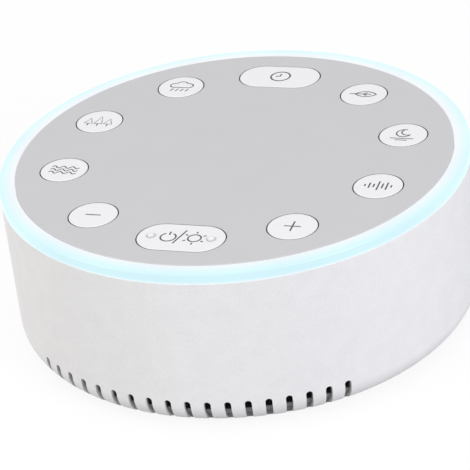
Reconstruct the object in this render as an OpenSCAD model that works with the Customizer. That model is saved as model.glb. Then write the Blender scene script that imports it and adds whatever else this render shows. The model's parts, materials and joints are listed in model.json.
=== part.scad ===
// White noise sound machine: a round table-top unit with ten keys on top,
// a light ring round the rim, a downward-firing loudspeaker and vent slots
// round the front of its foot. The origin is the middle of the footprint, on
// the table. +Z is up, the power key and the slots face -Y, the inlet +Y.

/* [Case] */
// Outside diameter of the case
case_d = 120; // [114:0.5:134]
// Height from the table to the top of the panel
case_h = 44; // [43:0.5:56]
// Thickness of the side wall
wall_t = 2.2; // [1.8:0.1:2.6]
// Rounding where the side turns into the underside
foot_round = 6.2; // [5:0.1:6.6]
// Width of the inward lip round the underside
lip_w = 5; // [4.6:0.1:5.6]
// Thickness of the lip and of the base cover
base_t = 2.4; // [2.2:0.1:3]
// Depth from the wall's outer face to the hoop that closes the slots' feet
hoop_inset = 1.7; // [1.4:0.1:2]
// Thickness of that hoop
hoop_t = 2.1; // [1.6:0.1:2.6]
// Height of the hoop above the underside
hoop_h = 4.8; // [4:0.1:5.4]
// Thickness of the deck that carries the loudspeaker
deck_t = 2; // [1.6:0.1:2.6]
// Clear height between the driver bosses and the base cover
boss_room = 2.5; // [2:0.1:3]
// Gap round the base cover
base_gap = 0.2; // [0.1:0.05:0.4]

/* [Vent slots] */
// Number of vent slots
slot_count = 18; // [6:2:22]
// Angle from one slot to the next, in degrees
slot_pitch = 4.75; // [3.6:0.05:6]
// Width of a slot
slot_w = 1.7; // [1:0.1:2]
// Height of the slots above the underside
slot_h = 7.5; // [6.6:0.1:8]

/* [Light ring] */
// Height of the lit band down the side
ring_side_h = 2.75; // [2.2:0.05:3.8]
// Width of the lit band on the top
ring_face_w = 4; // [3.2:0.1:5]
// Rounding of the band's outer edge
ring_round = 0.6; // [0.3:0.1:1.2]
// Width of the flange hidden under the panel
ring_flange_w = 4; // [3:0.1:4.6]
// Thickness of that flange
ring_flange_t = 2.3; // [1.8:0.1:2.8]
// Gap between the ring and the parts that it fits
ring_gap = 0.15; // [0.1:0.05:0.3]

/* [Top panel] */
// Thickness of the panel
panel_t = 2.2; // [1.8:0.1:2.6]
// Small bevel round the panel's top edge
panel_bevel = 0.2; // [0.1:0.05:0.4]
// Clear height between the panel and the control board
board_room = 6.2; // [6:0.1:6.8]

/* [Keys] */
// Distance from the panel's rim to the middle of each key
key_inset = 12.6; // [12:0.1:14]
// Diameter of a round key, and width of a long one
key_d = 12.2; // [10.5:0.1:12.6]
// Length of a long key
long_key_l = 22; // [18:0.1:23]
// Gap between a key and its opening
key_gap = 0.25; // [0.15:0.05:0.4]
// Height of the keys above the panel
key_proud = 0.05; // [0:0.05:0.6]
// Rounding of a key's top edge
key_round = 0.3; // [0.1:0.05:0.6]
// Thickness of a key's roof
key_roof_t = 1.2; // [0.9:0.1:1.5]
// Thickness of a key's side wall
key_wall_t = 1.3; // [1:0.1:1.8]
// Diameter of the stem under a key
stem_d = 3.4; // [2.6:0.1:3.6]
// How far a key goes down
key_travel = 0.6; // [0.3:0.05:0.8]
// Width of the flange that holds a key in
key_flange_w = 1; // [0.7:0.1:1.4]
// Thickness of that flange
key_flange_t = 1; // [0.8:0.1:1.2]
// Play between the flange and the panel
key_play = 0.1; // [0.05:0.05:0.2]
// Diameter of a guide pin
guide_d = 1.6; // [1.2:0.1:1.8]
// Gap round a guide pin
guide_gap = 0.2; // [0.1:0.05:0.3]
// Distance from a key's edge to its guide pins
guide_reach = 2.3; // [2.2:0.1:2.8]
// Width of the rim round a guide hole
guide_rim = 0.8; // [0.6:0.1:1]
// Diameter of the two raised nibs on the power key
nib_d = 2.2; // [1.4:0.1:2.6]
// Height of the nibs
nib_h = 0.55; // [0.2:0.05:0.6]
// Distance of the nibs from the middle of the power key
nib_reach = 7.6; // [6.4:0.1:7.8]

/* [Switches and board] */
// Thickness of the control board
board_t = 1.6; // [1:0.1:1.8]
// Gap between the board and the side wall
board_gap = 2.3; // [1.6:0.1:3]
// Width of a switch housing
switch_w = 6; // [5:0.1:6.4]
// Height of a switch housing
switch_h = 3.5; // [3:0.1:3.8]
// Diameter of a switch plunger
plunger_d = 3.4; // [2.8:0.1:3.6]
// Height of a plunger above its housing
plunger_proud = 0.8; // [0.8:0.05:1]
// Running gap round a plunger
plunger_gap = 0.15; // [0.1:0.05:0.3]
// Room left under a pressed plunger
plunger_room = 0.4; // [0.2:0.1:0.6]
// Length of a plunger inside its housing
plunger_grip = 1.4; // [1:0.1:1.6]
// Number of LEDs
led_count = 12; // [6:2:24]
// Length of an LED along the ring
led_l = 3.5; // [3:0.1:4]
// Width of an LED across the ring
led_w = 2.8; // [2:0.1:3]
// Height of an LED
led_h = 1.9; // [1.2:0.1:2.4]

/* [Screws] */
// Diameter of the self-tapping screws
screw_d = 2.6; // [2.2:0.1:2.8]
// Diameter of the screw heads
head_d = 4.5; // [4:0.1:4.8]
// Height of the screw heads
head_h = 1.3; // [1:0.05:1.5]
// Gap between a screw and its pilot hole
pilot_gap = 0.05; // [0.03:0.01:0.1]
// Gap between a screw and its clearance hole
clear_gap = 0.25; // [0.15:0.05:0.4]
// Gap round a sunk screw head
head_gap = 0.45; // [0.2:0.05:0.6]
// Diameter of the towers and bosses that take a screw
tower_d = 6; // [5.4:0.1:6.6]
// Wall round the deep screw holes in the body's pillars
pillar_wall = 1.4; // [1:0.1:1.8]
// Thread that a screw has in its tower
grip_l = 6; // [4:0.5:7]
// Thickness left under a screw head
seat_t = 4; // [3:0.5:5]
// Distance from the panel's rim to the panel's screw towers
tower_inset = 7.3; // [6.6:0.1:7.8]
// Radius of the circle that the board's screws stand on
board_screw_r = 24; // [22:0.5:27]
// Distance from the base cover's rim to its screws
base_screw_inset = 7; // [5.5:0.1:9]

/* [Feet] */
// Diameter of a rubber foot
foot_d = 12; // [9:0.5:14]
// Thickness of a rubber foot
foot_t = 1.7; // [1.5:0.1:2]
// How far the feet stand out of the base cover
foot_proud = 0.7; // [0.5:0.1:1.2]
// Distance from the base cover's rim to the middle of a foot
foot_inset = 10; // [8.5:0.5:14]
// Gap round a foot in its recess
foot_gap = 0.2; // [0.1:0.05:0.4]

/* [Loudspeaker] */
// Diameter of the basket's flange
driver_d = 58; // [57:0.5:64]
// Thickness of the basket's sheet steel
basket_t = 0.8; // [0.6:0.1:1]
// Width of the flange that the basket's screws go through
driver_flange_w = 5.7; // [5.4:0.1:6.2]
// Thickness of the foam gasket
gasket_t = 1; // [0.8:0.1:1.2]
// Clear height between the loudspeaker and the control board
driver_room = 1.95; // [1.5:0.05:2.4]
// Depth of the cone
cone_depth = 4.4; // [3.6:0.1:4.8]
// Thickness of the cone paper
cone_t = 0.5; // [0.4:0.1:0.7]
// Width of the surround's half roll
roll_w = 3.4; // [3:0.1:3.6]
// Thickness of the surround
surround_t = 0.4; // [0.3:0.1:0.6]
// Width of the surround's glued rims
glue_w = 0.9; // [0.6:0.1:1.1]
// Outside diameter of the voice coil's former
coil_d = 15; // [13:0.5:16]
// Wall of the former
former_t = 0.25; // [0.2:0.05:0.4]
// Thickness of the copper winding
winding_t = 0.3; // [0.2:0.05:0.4]
// Air gap each side of the voice coil
coil_gap = 0.35; // [0.3:0.05:0.5]
// How far the cone moves each way
cone_travel = 0.8; // [0.4:0.1:1]
// Diameter of the magnet
magnet_d = 32; // [28:0.5:34]
// Thickness of the magnet
magnet_t = 4.5; // [4:0.1:5]
// Thickness of the two steel plates
plate_t = 2; // [1.8:0.1:2.2]

/* [Power inlet] */
// Width of the jack's housing
jack_w = 9; // [8.6:0.1:10]
// Length of the jack's housing
jack_l = 12; // [10:0.5:14]
// Diameter of the jack's collar
collar_d = 8; // [7.4:0.1:8.4]
// Diameter of the plug hole
plug_d = 5.8; // [5.6:0.1:6.4]
// Depth of the plug hole
plug_depth = 9; // [8:0.5:10]
// Diameter of the centre pin
jack_pin_d = 2; // [1.6:0.1:2.5]
// Height of the jack's housing above the deck
jack_seat_h = 3.5; // [3:0.1:5]
// Gap between the jack and the parts that hold it
jack_gap = 0.15; // [0.1:0.05:0.3]

/* [Hidden] */
$fn = 72;

// How far a cutting shape reaches past the face that it opens
cut = 1;

// The loudspeaker's height over the deck
cone_clearance = 0.3;
spider_t = 0.35;
step_h = 2;
moving_h = surround_t + cone_depth + cone_t + cone_travel + cone_clearance;
driver_h = gasket_t + basket_t + moving_h + spider_t + step_h + magnet_t + 2 * plate_t;

// Levels, from the table upwards to the base cover and from the panel down to the deck
under_z = foot_proud;
base_top_z = under_z + base_t;
panel_z = case_h - panel_t;
seam_z = case_h - ring_side_h;
board_top_z = panel_z - board_room;
board_z = board_top_z - board_t;
deck_top_z = board_z - driver_room - driver_h;
deck_z = deck_top_z - deck_t;
chamber_h = deck_z - base_top_z;
pillar_play = 1;
pillar_top_z = board_z - pillar_play;
key_top_z = case_h + key_proud;
flange_top_z = panel_z - key_play;
flange_z = flange_top_z - key_flange_t;
switch_top_z = board_top_z + switch_h;
plunger_top_z = switch_top_z + plunger_proud;
plunger_z = switch_top_z - plunger_grip;

// Radii, from the outside inwards
case_r = case_d / 2;
body_in_r = case_r - wall_t;
lip_in_r = body_in_r - lip_w;
base_r = lip_in_r - base_gap;
hoop_out_r = case_r - hoop_inset;
ring_in_r = case_r - ring_face_w;
ring_flange_r = ring_in_r - ring_flange_w;
panel_r = ring_in_r - ring_gap;
board_r = body_in_r - board_gap;
key_circle_r = panel_r - key_inset;
tower_circle_r = panel_r - tower_inset;
foot_circle_r = base_r - foot_inset;
base_screw_r = base_r - base_screw_inset;

// Keys stand at ten even places; the screw towers take four of the gaps
key_pitch = 360 / 10;
tower_angles = [for (gap = [1, 4, 6, 9]) gap * key_pitch];
quarter_angles = [0, 90, 180, 270];
diagonal_angles = [45, 135, 225, 315];
timer_angle = 90;
power_angle = -90;
round_key_angles = [for (side = [0, 180], step = [-1.5, -0.5, 0.5, 1.5]) side + step * key_pitch];

// Screws
pilot_r = screw_d / 2 + pilot_gap;
clear_r = screw_d / 2 + clear_gap;
sink_r = head_d / 2 + head_gap;
pillar_r = sink_r + pillar_wall;
tip_l = 1;
pilot_spare = 0.6;
head_seat_t = 1;
recess_w = 0.5;
driver_grip_l = deck_t + chamber_h - boss_room;

// Loudspeaker, from the deck upwards
driver_r = driver_d / 2;
driver_z = deck_top_z + gasket_t;
driver_seat_z = driver_z + basket_t;
basket_r = driver_r - driver_flange_w;
flange_out_r = basket_r - basket_t;
flange_in_r = flange_out_r - glue_w;
roll_out_r = flange_in_r - surround_t;
roll_in_r = roll_out_r - roll_w;
cone_r = roll_in_r - surround_t / 2;
sound_hole_r = flange_in_r + 0.2;
cone_z = driver_seat_z + surround_t;
cone_neck_z = cone_z + cone_depth;
spider_z = cone_neck_z + cone_t + cone_travel + cone_clearance;
step_z = spider_z + spider_t;
basket_top_z = step_z + step_h;
coil_r = coil_d / 2;
winding_r = coil_r + winding_t;
plate_in_r = winding_r + coil_gap;
pole_r = coil_r - former_t - coil_gap;
top_plate_z = basket_top_z;
magnet_z = top_plate_z + plate_t;
yoke_z = magnet_z + magnet_t;
basket_step_r = magnet_d / 2 + 2;
terminal_angle = 200;
driver_screw_r = driver_r - head_d / 2 - 0.4;

// Power inlet
jack_z = deck_top_z + jack_seat_h + jack_w / 2;
jack_front_y = body_in_r - 1.8;
jack_rear_y = jack_front_y - jack_l;
jack_mouth_y = case_r - 0.4;
collar_r = collar_d / 2;
plug_end_y = jack_mouth_y - plug_depth;
tab_l = 2;
tab_pitch = 2.5;

// Places on the control board
sound_chip_at = [-8, 6];
amplifier_chip_at = [9, 6];
capacitor_y = -8;

// Leads run from the board's connectors to the loudspeaker and the inlet
lead_r = 0.6;
straight_l = 1.2;
connector_h = 5;
connector_z = board_z - connector_h;
speaker_plug_r = 36;
power_plug_y = jack_rear_y - 10;
strip_t = 0.8;
strip_z = step_z + basket_t;
strip_reach = 5.6;
solder_inset = 1.5;

case_white = [0.93, 0.93, 0.92];
panel_grey = [0.80, 0.80, 0.81];
key_white = [0.95, 0.95, 0.95];
glow_white = [0.82, 0.97, 0.99];
board_green = [0.10, 0.32, 0.20];
black = [0.08, 0.08, 0.09];
steel = [0.66, 0.67, 0.68];
copper = [0.72, 0.42, 0.24];
paper_grey = [0.20, 0.20, 0.21];

function bezier(a, b, c, d, t) =
    a * pow(1 - t, 3) + 3 * b * t * pow(1 - t, 2) + 3 * c * t * t * (1 - t) + d * pow(t, 3);

// Points of a lead: straight out of each end, with a curve between
function lead_route(a, a_out, b, b_out) =
    let (a_in = a + a_out * straight_l / norm(a_out), b_in = b + b_out * straight_l / norm(b_out))
    concat([a], [for (i = [0:10]) bezier(a_in, a_in + a_out, b_in + b_out, b_in, i / 10)], [b]);

// ---- Shared shapes ----

module at_angles(angles, radius) {
    for (a = angles) rotate([0, 0, a]) translate([radius, 0, 0]) children();
}

// A key's own frame: its middle at the origin, X along the key circle
module at_key(angle) {
    rotate([0, 0, angle]) translate([key_circle_r, 0, 0]) rotate([0, 0, 90]) children();
}

// A self-tapping screw that points up, its head under z = 0
module screw(thread_l) {
    difference() {
        translate([0, 0, -head_h]) cylinder(d = head_d, h = head_h, $fn = 36);
        for (turn = [0, 90])
            rotate([0, 0, turn])
                translate([-head_d / 4, -recess_w / 2, -head_h - cut])
                    cube([head_d / 2, recess_w, cut + head_h / 2]);
    }
    cylinder(d = screw_d, h = thread_l - tip_l, $fn = 24);
    translate([0, 0, thread_l - tip_l])
        cylinder(d1 = screw_d, d2 = screw_d / 3, h = tip_l, $fn = 24);
}

// A stadium: a round-ended bar along X, with its middle at the origin
module stadium(length, width) {
    half = (length - width) / 2;
    translate([-half, -width / 2]) square([2 * half, width]);
    for (side = [-1, 1]) translate([side * half, 0]) circle(d = width);
}

// A round tube along a flat curve in the XZ plane
module lead(points) {
    sides = 8;
    last = len(points) - 1;
    rings = [
        for (i = [0:last])
            let (
                along = points[min(i + 1, last)] - points[max(i - 1, 0)],
                unit = along / norm(along)
            )
            for (s = [0:sides - 1])
                let (a = 360 * s / sides)
                [
                    points[i][0] - unit[1] * lead_r * cos(a),
                    lead_r * sin(a),
                    points[i][1] + unit[0] * lead_r * cos(a)
                ]
    ];
    walls = [
        for (i = [0:last - 1], s = [0:sides - 1])
            let (n = (s + 1) % sides)
            [i * sides + s, i * sides + n, (i + 1) * sides + n, (i + 1) * sides + s]
    ];
    ends = [
        [for (s = [sides - 1:-1:0]) s],
        [for (s = [0:sides - 1]) last * sides + s]
    ];
    polyhedron(rings, concat(walls, ends), convexity = 4);
}

// ---- Case ----

// Half section of the case's outer form, filled in to the middle line
module skin_section() {
    translate([0, under_z + foot_round]) square([case_r, seam_z - under_z - foot_round]);
    translate([0, under_z]) square([case_r - foot_round, foot_round]);
    translate([case_r - foot_round, under_z + foot_round]) circle(r = foot_round);
}

module wall_section() {
    intersection() {
        skin_section();
        translate([body_in_r, under_z]) square([wall_t + cut, seam_z - under_z]);
    }
}

// The lip under the wall, and the hoop that stands on it behind the slots
module lip_section() {
    intersection() {
        skin_section();
        union() {
            translate([lip_in_r, under_z]) square([hoop_out_r - lip_in_r, base_t]);
            translate([hoop_out_r - hoop_t, under_z]) square([hoop_t, hoop_h]);
        }
    }
}

// An arched cutter that goes right through the wall, down past the underside
module vent_slot() {
    start_r = body_in_r - cut;
    reach = wall_t + 2 * cut;
    arch_z = under_z + slot_h - slot_w / 2;
    translate([start_r, -slot_w / 2, under_z - cut]) cube([reach, slot_w, arch_z - under_z + cut]);
    translate([start_r, 0, arch_z]) rotate([0, 90, 0]) cylinder(d = slot_w, h = reach, $fn = 24);
}

module vent_slots() {
    for (i = [0:slot_count - 1])
        rotate([0, 0, power_angle + (i - (slot_count - 1) / 2) * slot_pitch]) vent_slot();
}

// Pillar on the deck that the panel's towers land on, with a rib to the wall
module pillar() {
    rib_t = 1.6;
    translate([0, 0, deck_top_z]) cylinder(r = pillar_r, h = pillar_top_z - deck_top_z);
    translate([0, -rib_t / 2, deck_top_z])
        cube([body_in_r - tower_circle_r + wall_t / 2, rib_t, pillar_top_z - deck_top_z - 2]);
}

module pillar_hole() {
    translate([0, 0, deck_z - cut]) cylinder(r = sink_r, h = pillar_top_z - seat_t - deck_z + cut);
    translate([0, 0, deck_z]) cylinder(r = clear_r, h = pillar_top_z - deck_z + cut, $fn = 24);
}

// Cradle for the power inlet: a pad on the wall, a seat with cheeks and a stop
module jack_cradle() {
    cheek_t = 1.2;
    stop_t = 1.4;
    inner_w = jack_w + 2 * jack_gap;
    outer_w = inner_w + 2 * cheek_t;
    intersection() {
        translate([0, jack_front_y, jack_z]) rotate([-90, 0, 0])
            cylinder(r = collar_r + 2.2, h = case_r - jack_front_y);
        cylinder(r = body_in_r + wall_t / 2, h = case_h);
    }
    difference() {
        translate([-outer_w / 2, jack_rear_y - stop_t, deck_top_z])
            cube([outer_w, jack_l + stop_t, jack_z - deck_top_z]);
        translate([-inner_w / 2, jack_rear_y - jack_gap, jack_z - jack_w / 2])
            cube([inner_w, jack_l + jack_gap + cut, jack_w]);
        translate([-tab_pitch, jack_rear_y - stop_t - cut, jack_z - jack_w / 4])
            cube([2 * tab_pitch, stop_t + 2 * cut, jack_w]);
    }
}

module body_shell() {
    color(case_white)
    difference() {
        union() {
            difference() {
                rotate_extrude() wall_section();
                vent_slots();
            }
            rotate_extrude() lip_section();
            translate([0, 0, deck_z]) cylinder(r = body_in_r + wall_t / 2, h = deck_t);
            at_angles(tower_angles, tower_circle_r) pillar();
            at_angles(quarter_angles, base_screw_r)
                translate([0, 0, base_top_z]) cylinder(d = tower_d, h = deck_top_z - base_top_z);
            at_angles(diagonal_angles, driver_screw_r)
                translate([0, 0, deck_top_z - driver_grip_l]) cylinder(d = tower_d, h = driver_grip_l);
            jack_cradle();
        }
        translate([0, 0, deck_z - cut]) cylinder(r = sound_hole_r, h = deck_t + 2 * cut);
        at_angles(tower_angles, tower_circle_r) pillar_hole();
        at_angles(quarter_angles, base_screw_r)
            translate([0, 0, base_top_z - cut])
                cylinder(r = pilot_r, h = chamber_h + deck_t / 2 + cut, $fn = 24);
        at_angles(diagonal_angles, driver_screw_r)
            translate([0, 0, deck_top_z - driver_grip_l - cut])
                cylinder(r = pilot_r, h = driver_grip_l + 2 * cut, $fn = 24);
        translate([0, jack_front_y - cut, jack_z]) rotate([-90, 0, 0])
            cylinder(r = collar_r + jack_gap, h = case_r - jack_front_y + 2 * cut);
    }
}

module base_cover() {
    rib_h = 1.4;
    rib_t = 1.2;
    rib_in_r = 10;
    sink_depth = base_t - head_seat_t;
    color(case_white)
    difference() {
        union() {
            translate([0, 0, under_z]) cylinder(r = base_r, h = base_t);
            for (a = [0:30:359])
                rotate([0, 0, a]) translate([rib_in_r, -rib_t / 2, base_top_z - rib_h])
                    cube([foot_circle_r - foot_d / 2 - rib_in_r, rib_t, 2 * rib_h]);
        }
        at_angles(diagonal_angles, foot_circle_r)
            translate([0, 0, under_z - cut])
                cylinder(r = foot_d / 2 + foot_gap, h = foot_t - foot_proud + cut);
        at_angles(quarter_angles, base_screw_r) {
            translate([0, 0, under_z - cut]) cylinder(r = sink_r, h = sink_depth + cut);
            translate([0, 0, under_z]) cylinder(r = clear_r, h = base_t + cut, $fn = 24);
        }
    }
}

module rubber_feet() {
    edge = 0.4;
    color(black)
    at_angles(diagonal_angles, foot_circle_r) {
        cylinder(d1 = foot_d - 2 * edge, d2 = foot_d, h = edge);
        translate([0, 0, edge]) cylinder(d = foot_d, h = foot_t - edge);
    }
}

module base_screws() {
    color(steel)
    at_angles(quarter_angles, base_screw_r)
        translate([0, 0, base_top_z - head_seat_t]) screw(head_seat_t + chamber_h);
}

module panel_screws() {
    color(steel)
    at_angles(tower_angles, tower_circle_r)
        translate([0, 0, pillar_top_z - seat_t]) screw(seat_t + grip_l);
}

// ---- Light ring and top panel ----

module light_ring() {
    spigot_r = body_in_r - ring_gap;
    color(glow_white)
    rotate_extrude() difference() {
        union() {
            translate([0, seam_z]) square([case_r, ring_side_h - ring_round]);
            translate([0, seam_z]) square([case_r - ring_round, ring_side_h]);
            translate([case_r - ring_round, case_h - ring_round]) circle(r = ring_round);
            translate([0, panel_z - ring_flange_t]) square([spigot_r, ring_flange_t]);
        }
        square([ring_flange_r, case_h + cut]);
        translate([0, panel_z]) square([ring_in_r, panel_t + cut]);
    }
}

module key_opening(length) {
    translate([0, 0, panel_z - cut]) linear_extrude(panel_t + 2 * cut)
        stadium(length + 2 * key_gap, key_d + 2 * key_gap);
}

module round_opening() {
    translate([0, 0, panel_z - cut]) cylinder(r = key_d / 2 + key_gap, h = panel_t + 2 * cut);
}

module guide_pins(length) {
    pin_l = key_play + key_flange_t + key_travel + 0.4;
    for (side = [-1, 1])
        translate([side * (length / 2 + guide_reach), 0, panel_z - pin_l])
            cylinder(d = guide_d, h = pin_l + cut, $fn = 24);
}

module top_panel() {
    color(panel_grey)
    difference() {
        union() {
            translate([0, 0, panel_z]) cylinder(r = panel_r, h = panel_t - panel_bevel);
            translate([0, 0, case_h - panel_bevel])
                cylinder(r1 = panel_r, r2 = panel_r - panel_bevel, h = panel_bevel);
            at_angles(tower_angles, tower_circle_r)
                translate([0, 0, pillar_top_z]) cylinder(d = tower_d, h = panel_z - pillar_top_z + cut);
            at_angles(diagonal_angles, board_screw_r)
                translate([0, 0, board_top_z]) cylinder(d = tower_d, h = board_room + cut);
            for (a = round_key_angles) at_key(a) guide_pins(key_d);
            for (a = [timer_angle, power_angle]) at_key(a) guide_pins(long_key_l);
        }
        for (a = round_key_angles) at_key(a) round_opening();
        for (a = [timer_angle, power_angle]) at_key(a) key_opening(long_key_l);
        at_angles(tower_angles, tower_circle_r)
            translate([0, 0, pillar_top_z - cut])
                cylinder(r = pilot_r, h = grip_l + pilot_spare + cut, $fn = 24);
        at_angles(diagonal_angles, board_screw_r)
            translate([0, 0, board_top_z - cut])
                cylinder(r = pilot_r, h = board_room + cut, $fn = 24);
    }
}

// ---- Keys ----

// Half section of a key cap, from its middle line outwards
module cap_section() {
    half_w = key_d / 2;
    translate([0, flange_z]) square([half_w, key_top_z - key_round - flange_z]);
    translate([0, flange_z]) square([half_w - key_round, key_top_z - flange_z]);
    translate([half_w - key_round, key_top_z - key_round]) circle(r = key_round, $fn = 32);
    translate([0, flange_z]) square([half_w + key_flange_w, key_flange_t]);
}

module hollow_section() {
    translate([0, flange_z - cut])
        square([key_d / 2 - key_wall_t, key_top_z - key_roof_t - flange_z + cut]);
}

// Sweeps a half section round a bar of the given length along X
module around_bar(length) {
    half = (length - key_d) / 2;
    for (x = half > 0 ? [-half, half] : [0]) translate([x, 0, 0]) rotate_extrude() children();
    if (half > 0)
        translate([-half, 0, 0]) rotate([90, 0, 90]) linear_extrude(2 * half) {
            children();
            mirror([1, 0]) children();
        }
}

module guide_ears(length) {
    hole_r = guide_d / 2 + guide_gap;
    ear_r = hole_r + guide_rim;
    reach = length / 2 + guide_reach;
    difference() {
        for (side = [-1, 1]) translate([side * reach, 0, 0]) {
            cylinder(r = ear_r, h = key_flange_t, $fn = 32);
            translate([side > 0 ? -guide_reach : 0, -ear_r, 0]) cube([guide_reach, 2 * ear_r, key_flange_t]);
        }
        for (side = [-1, 1]) translate([side * reach, 0, -cut])
            cylinder(r = hole_r, h = key_flange_t + 2 * cut, $fn = 24);
    }
}

module key_cap(length) {
    difference() {
        around_bar(length) cap_section();
        around_bar(length) hollow_section();
    }
    translate([0, 0, flange_z]) guide_ears(length);
    translate([0, 0, plunger_top_z])
        cylinder(d = stem_d, h = key_top_z - key_roof_t / 2 - plunger_top_z, $fn = 32);
}

// A raised nib that a finger finds in the dark
module nib() {
    sphere_r = (nib_d * nib_d / 4 + nib_h * nib_h) / (2 * nib_h);
    translate([0, 0, key_top_z]) intersection() {
        translate([0, 0, nib_h - sphere_r]) sphere(r = sphere_r);
        translate([0, 0, -key_roof_t / 2]) cylinder(d = nib_d, h = key_roof_t);
    }
}

module round_key(slot) { color(key_white) at_key(round_key_angles[slot]) key_cap(key_d); }
module key_timer() { color(key_white) at_key(timer_angle) key_cap(long_key_l); }
module key_white_noise() { round_key(1); }
module key_plus() { round_key(0); }
module key_calm() { round_key(2); }
module key_relax() { round_key(3); }
module key_rain() { round_key(4); }
module key_forest() { round_key(5); }
module key_ocean() { round_key(6); }
module key_minus() { round_key(7); }
module key_power() {
    color(key_white) at_key(power_angle) {
        key_cap(long_key_l);
        for (side = [-1, 1]) translate([side * nib_reach, 0, 0]) nib();
    }
}

module plunger(angle) {
    color(black) at_key(angle) translate([0, 0, plunger_z])
        cylinder(d = plunger_d, h = plunger_top_z - plunger_z, $fn = 32);
}
module plunger_timer() { plunger(timer_angle); }
module plunger_power() { plunger(power_angle); }
module plunger_plus() { plunger(round_key_angles[0]); }
module plunger_white_noise() { plunger(round_key_angles[1]); }
module plunger_calm() { plunger(round_key_angles[2]); }
module plunger_relax() { plunger(round_key_angles[3]); }
module plunger_rain() { plunger(round_key_angles[4]); }
module plunger_forest() { plunger(round_key_angles[5]); }
module plunger_ocean() { plunger(round_key_angles[6]); }
module plunger_minus() { plunger(round_key_angles[7]); }

// ---- Control board ----

module control_board() {
    color(board_green)
    difference() {
        translate([0, 0, board_z]) cylinder(r = board_r, h = board_t);
        at_angles(tower_angles, tower_circle_r)
            translate([0, 0, board_z - cut]) cylinder(r = tower_d / 2 + clear_gap, h = board_t + 2 * cut);
        at_angles(diagonal_angles, board_screw_r)
            translate([0, 0, board_z - cut]) cylinder(r = clear_r, h = board_t + 2 * cut, $fn = 24);
    }
}

module board_screws() {
    color(steel)
    at_angles(diagonal_angles, board_screw_r)
        translate([0, 0, board_z]) screw(board_t + board_room - pilot_spare);
}

module switch_housings() {
    depth = plunger_grip + key_travel + plunger_room;
    color(black)
    for (i = [0:9]) at_key(timer_angle + i * key_pitch) difference() {
        translate([-switch_w / 2, -switch_w / 2, board_top_z]) cube([switch_w, switch_w, switch_h]);
        translate([0, 0, switch_top_z - depth])
            cylinder(r = plunger_d / 2 + plunger_gap, h = depth + cut, $fn = 32);
    }
}

module ring_leds() {
    lens_d = 2;
    color([0.95, 0.94, 0.85])
    for (i = [0:led_count - 1])
        rotate([0, 0, (i + 0.5) * 360 / led_count])
            translate([ring_flange_r + led_w / 2, 0, board_top_z]) difference() {
                translate([-led_w / 2, -led_l / 2, 0]) cube([led_w, led_l, led_h]);
                translate([0, 0, led_h - 0.3]) cylinder(d = lens_d, h = 0.3 + cut, $fn = 24);
            }
}

// A chip package with a row of legs down each long side
module chip(legs) {
    leg_pitch = 1.27;
    chip_l = legs * leg_pitch + 1;
    chip_w = 3.9;
    chip_h = 1.6;
    leg_w = 0.4;
    leg_reach = 1;
    translate([-chip_l / 2, -chip_w / 2, 0.1]) cube([chip_l, chip_w, chip_h - 0.1]);
    for (side = [-1, 1], i = [0:legs - 1])
        translate([(i - (legs - 1) / 2) * leg_pitch - leg_w / 2, 0, 0]) {
            translate([0, side > 0 ? chip_w / 2 - 0.1 : -chip_w / 2 - leg_reach + 0.1, 0])
                cube([leg_w, leg_reach, 0.2]);
            translate([0, side > 0 ? chip_w / 2 - 0.1 : -chip_w / 2 - 0.2, 0])
                cube([leg_w, 0.3, chip_h / 2]);
        }
}

module sound_chip() {
    color(black) translate([sound_chip_at[0], sound_chip_at[1], board_top_z]) chip(8);
}

module amplifier_chip() {
    color(black) translate([amplifier_chip_at[0], amplifier_chip_at[1], board_top_z]) chip(4);
}

module bulk_capacitor() {
    can_d = 5;
    can_l = 11;
    groove_l = 1;
    color([0.16, 0.18, 0.32])
    translate([-can_l / 2, capacitor_y, board_top_z + can_d / 2]) rotate([0, 90, 0]) {
        cylinder(d = can_d, h = 1.5);
        cylinder(d = can_d - 0.8, h = can_l);
        translate([0, 0, 1.5 + groove_l]) cylinder(d = can_d, h = can_l - 1.5 - groove_l);
    }
}

module connector() {
    width = 7;
    depth = 4.5;
    translate([-depth / 2, -width / 2, connector_z]) cube([depth, width, connector_h]);
}

module lead_connectors() {
    color([0.93, 0.91, 0.85]) {
        rotate([0, 0, terminal_angle]) translate([speaker_plug_r, 0, 0]) connector();
        rotate([0, 0, timer_angle]) translate([power_plug_y, 0, 0]) connector();
    }
}

// ---- Loudspeaker ----

module basket_section() {
    step_out = basket_step_r + 3;
    polygon([
        [flange_in_r, driver_z], [driver_r, driver_z], [driver_r, driver_seat_z],
        [basket_r, driver_seat_z], [step_out, step_z + basket_t],
        [basket_step_r, step_z + basket_t], [basket_step_r, basket_top_z],
        [plate_in_r + 0.8, basket_top_z], [plate_in_r + 0.8, basket_top_z - basket_t],
        [basket_step_r - basket_t, basket_top_z - basket_t], [basket_step_r - basket_t, step_z],
        [step_out - basket_t, step_z], [flange_out_r, driver_seat_z],
        [flange_in_r, driver_seat_z]
    ]);
}

module speaker_basket() {
    window_w = 14;
    window_z = driver_seat_z + 1.4;
    color(steel)
    difference() {
        rotate_extrude() basket_section();
        at_angles(diagonal_angles, driver_screw_r)
            translate([0, 0, driver_z - cut]) cylinder(r = clear_r, h = basket_t + 2 * cut, $fn = 24);
        for (a = quarter_angles)
            rotate([0, 0, a + 20]) translate([basket_step_r, -window_w / 2, window_z])
                cube([driver_r - basket_step_r, window_w, step_z - window_z - 1.2]);
    }
}

module speaker_gasket() {
    color(black)
    translate([0, 0, deck_top_z]) difference() {
        cylinder(r = basket_r, h = gasket_t);
        translate([0, 0, -cut]) cylinder(r = sound_hole_r + 0.2, h = gasket_t + 2 * cut);
    }
}

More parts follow.
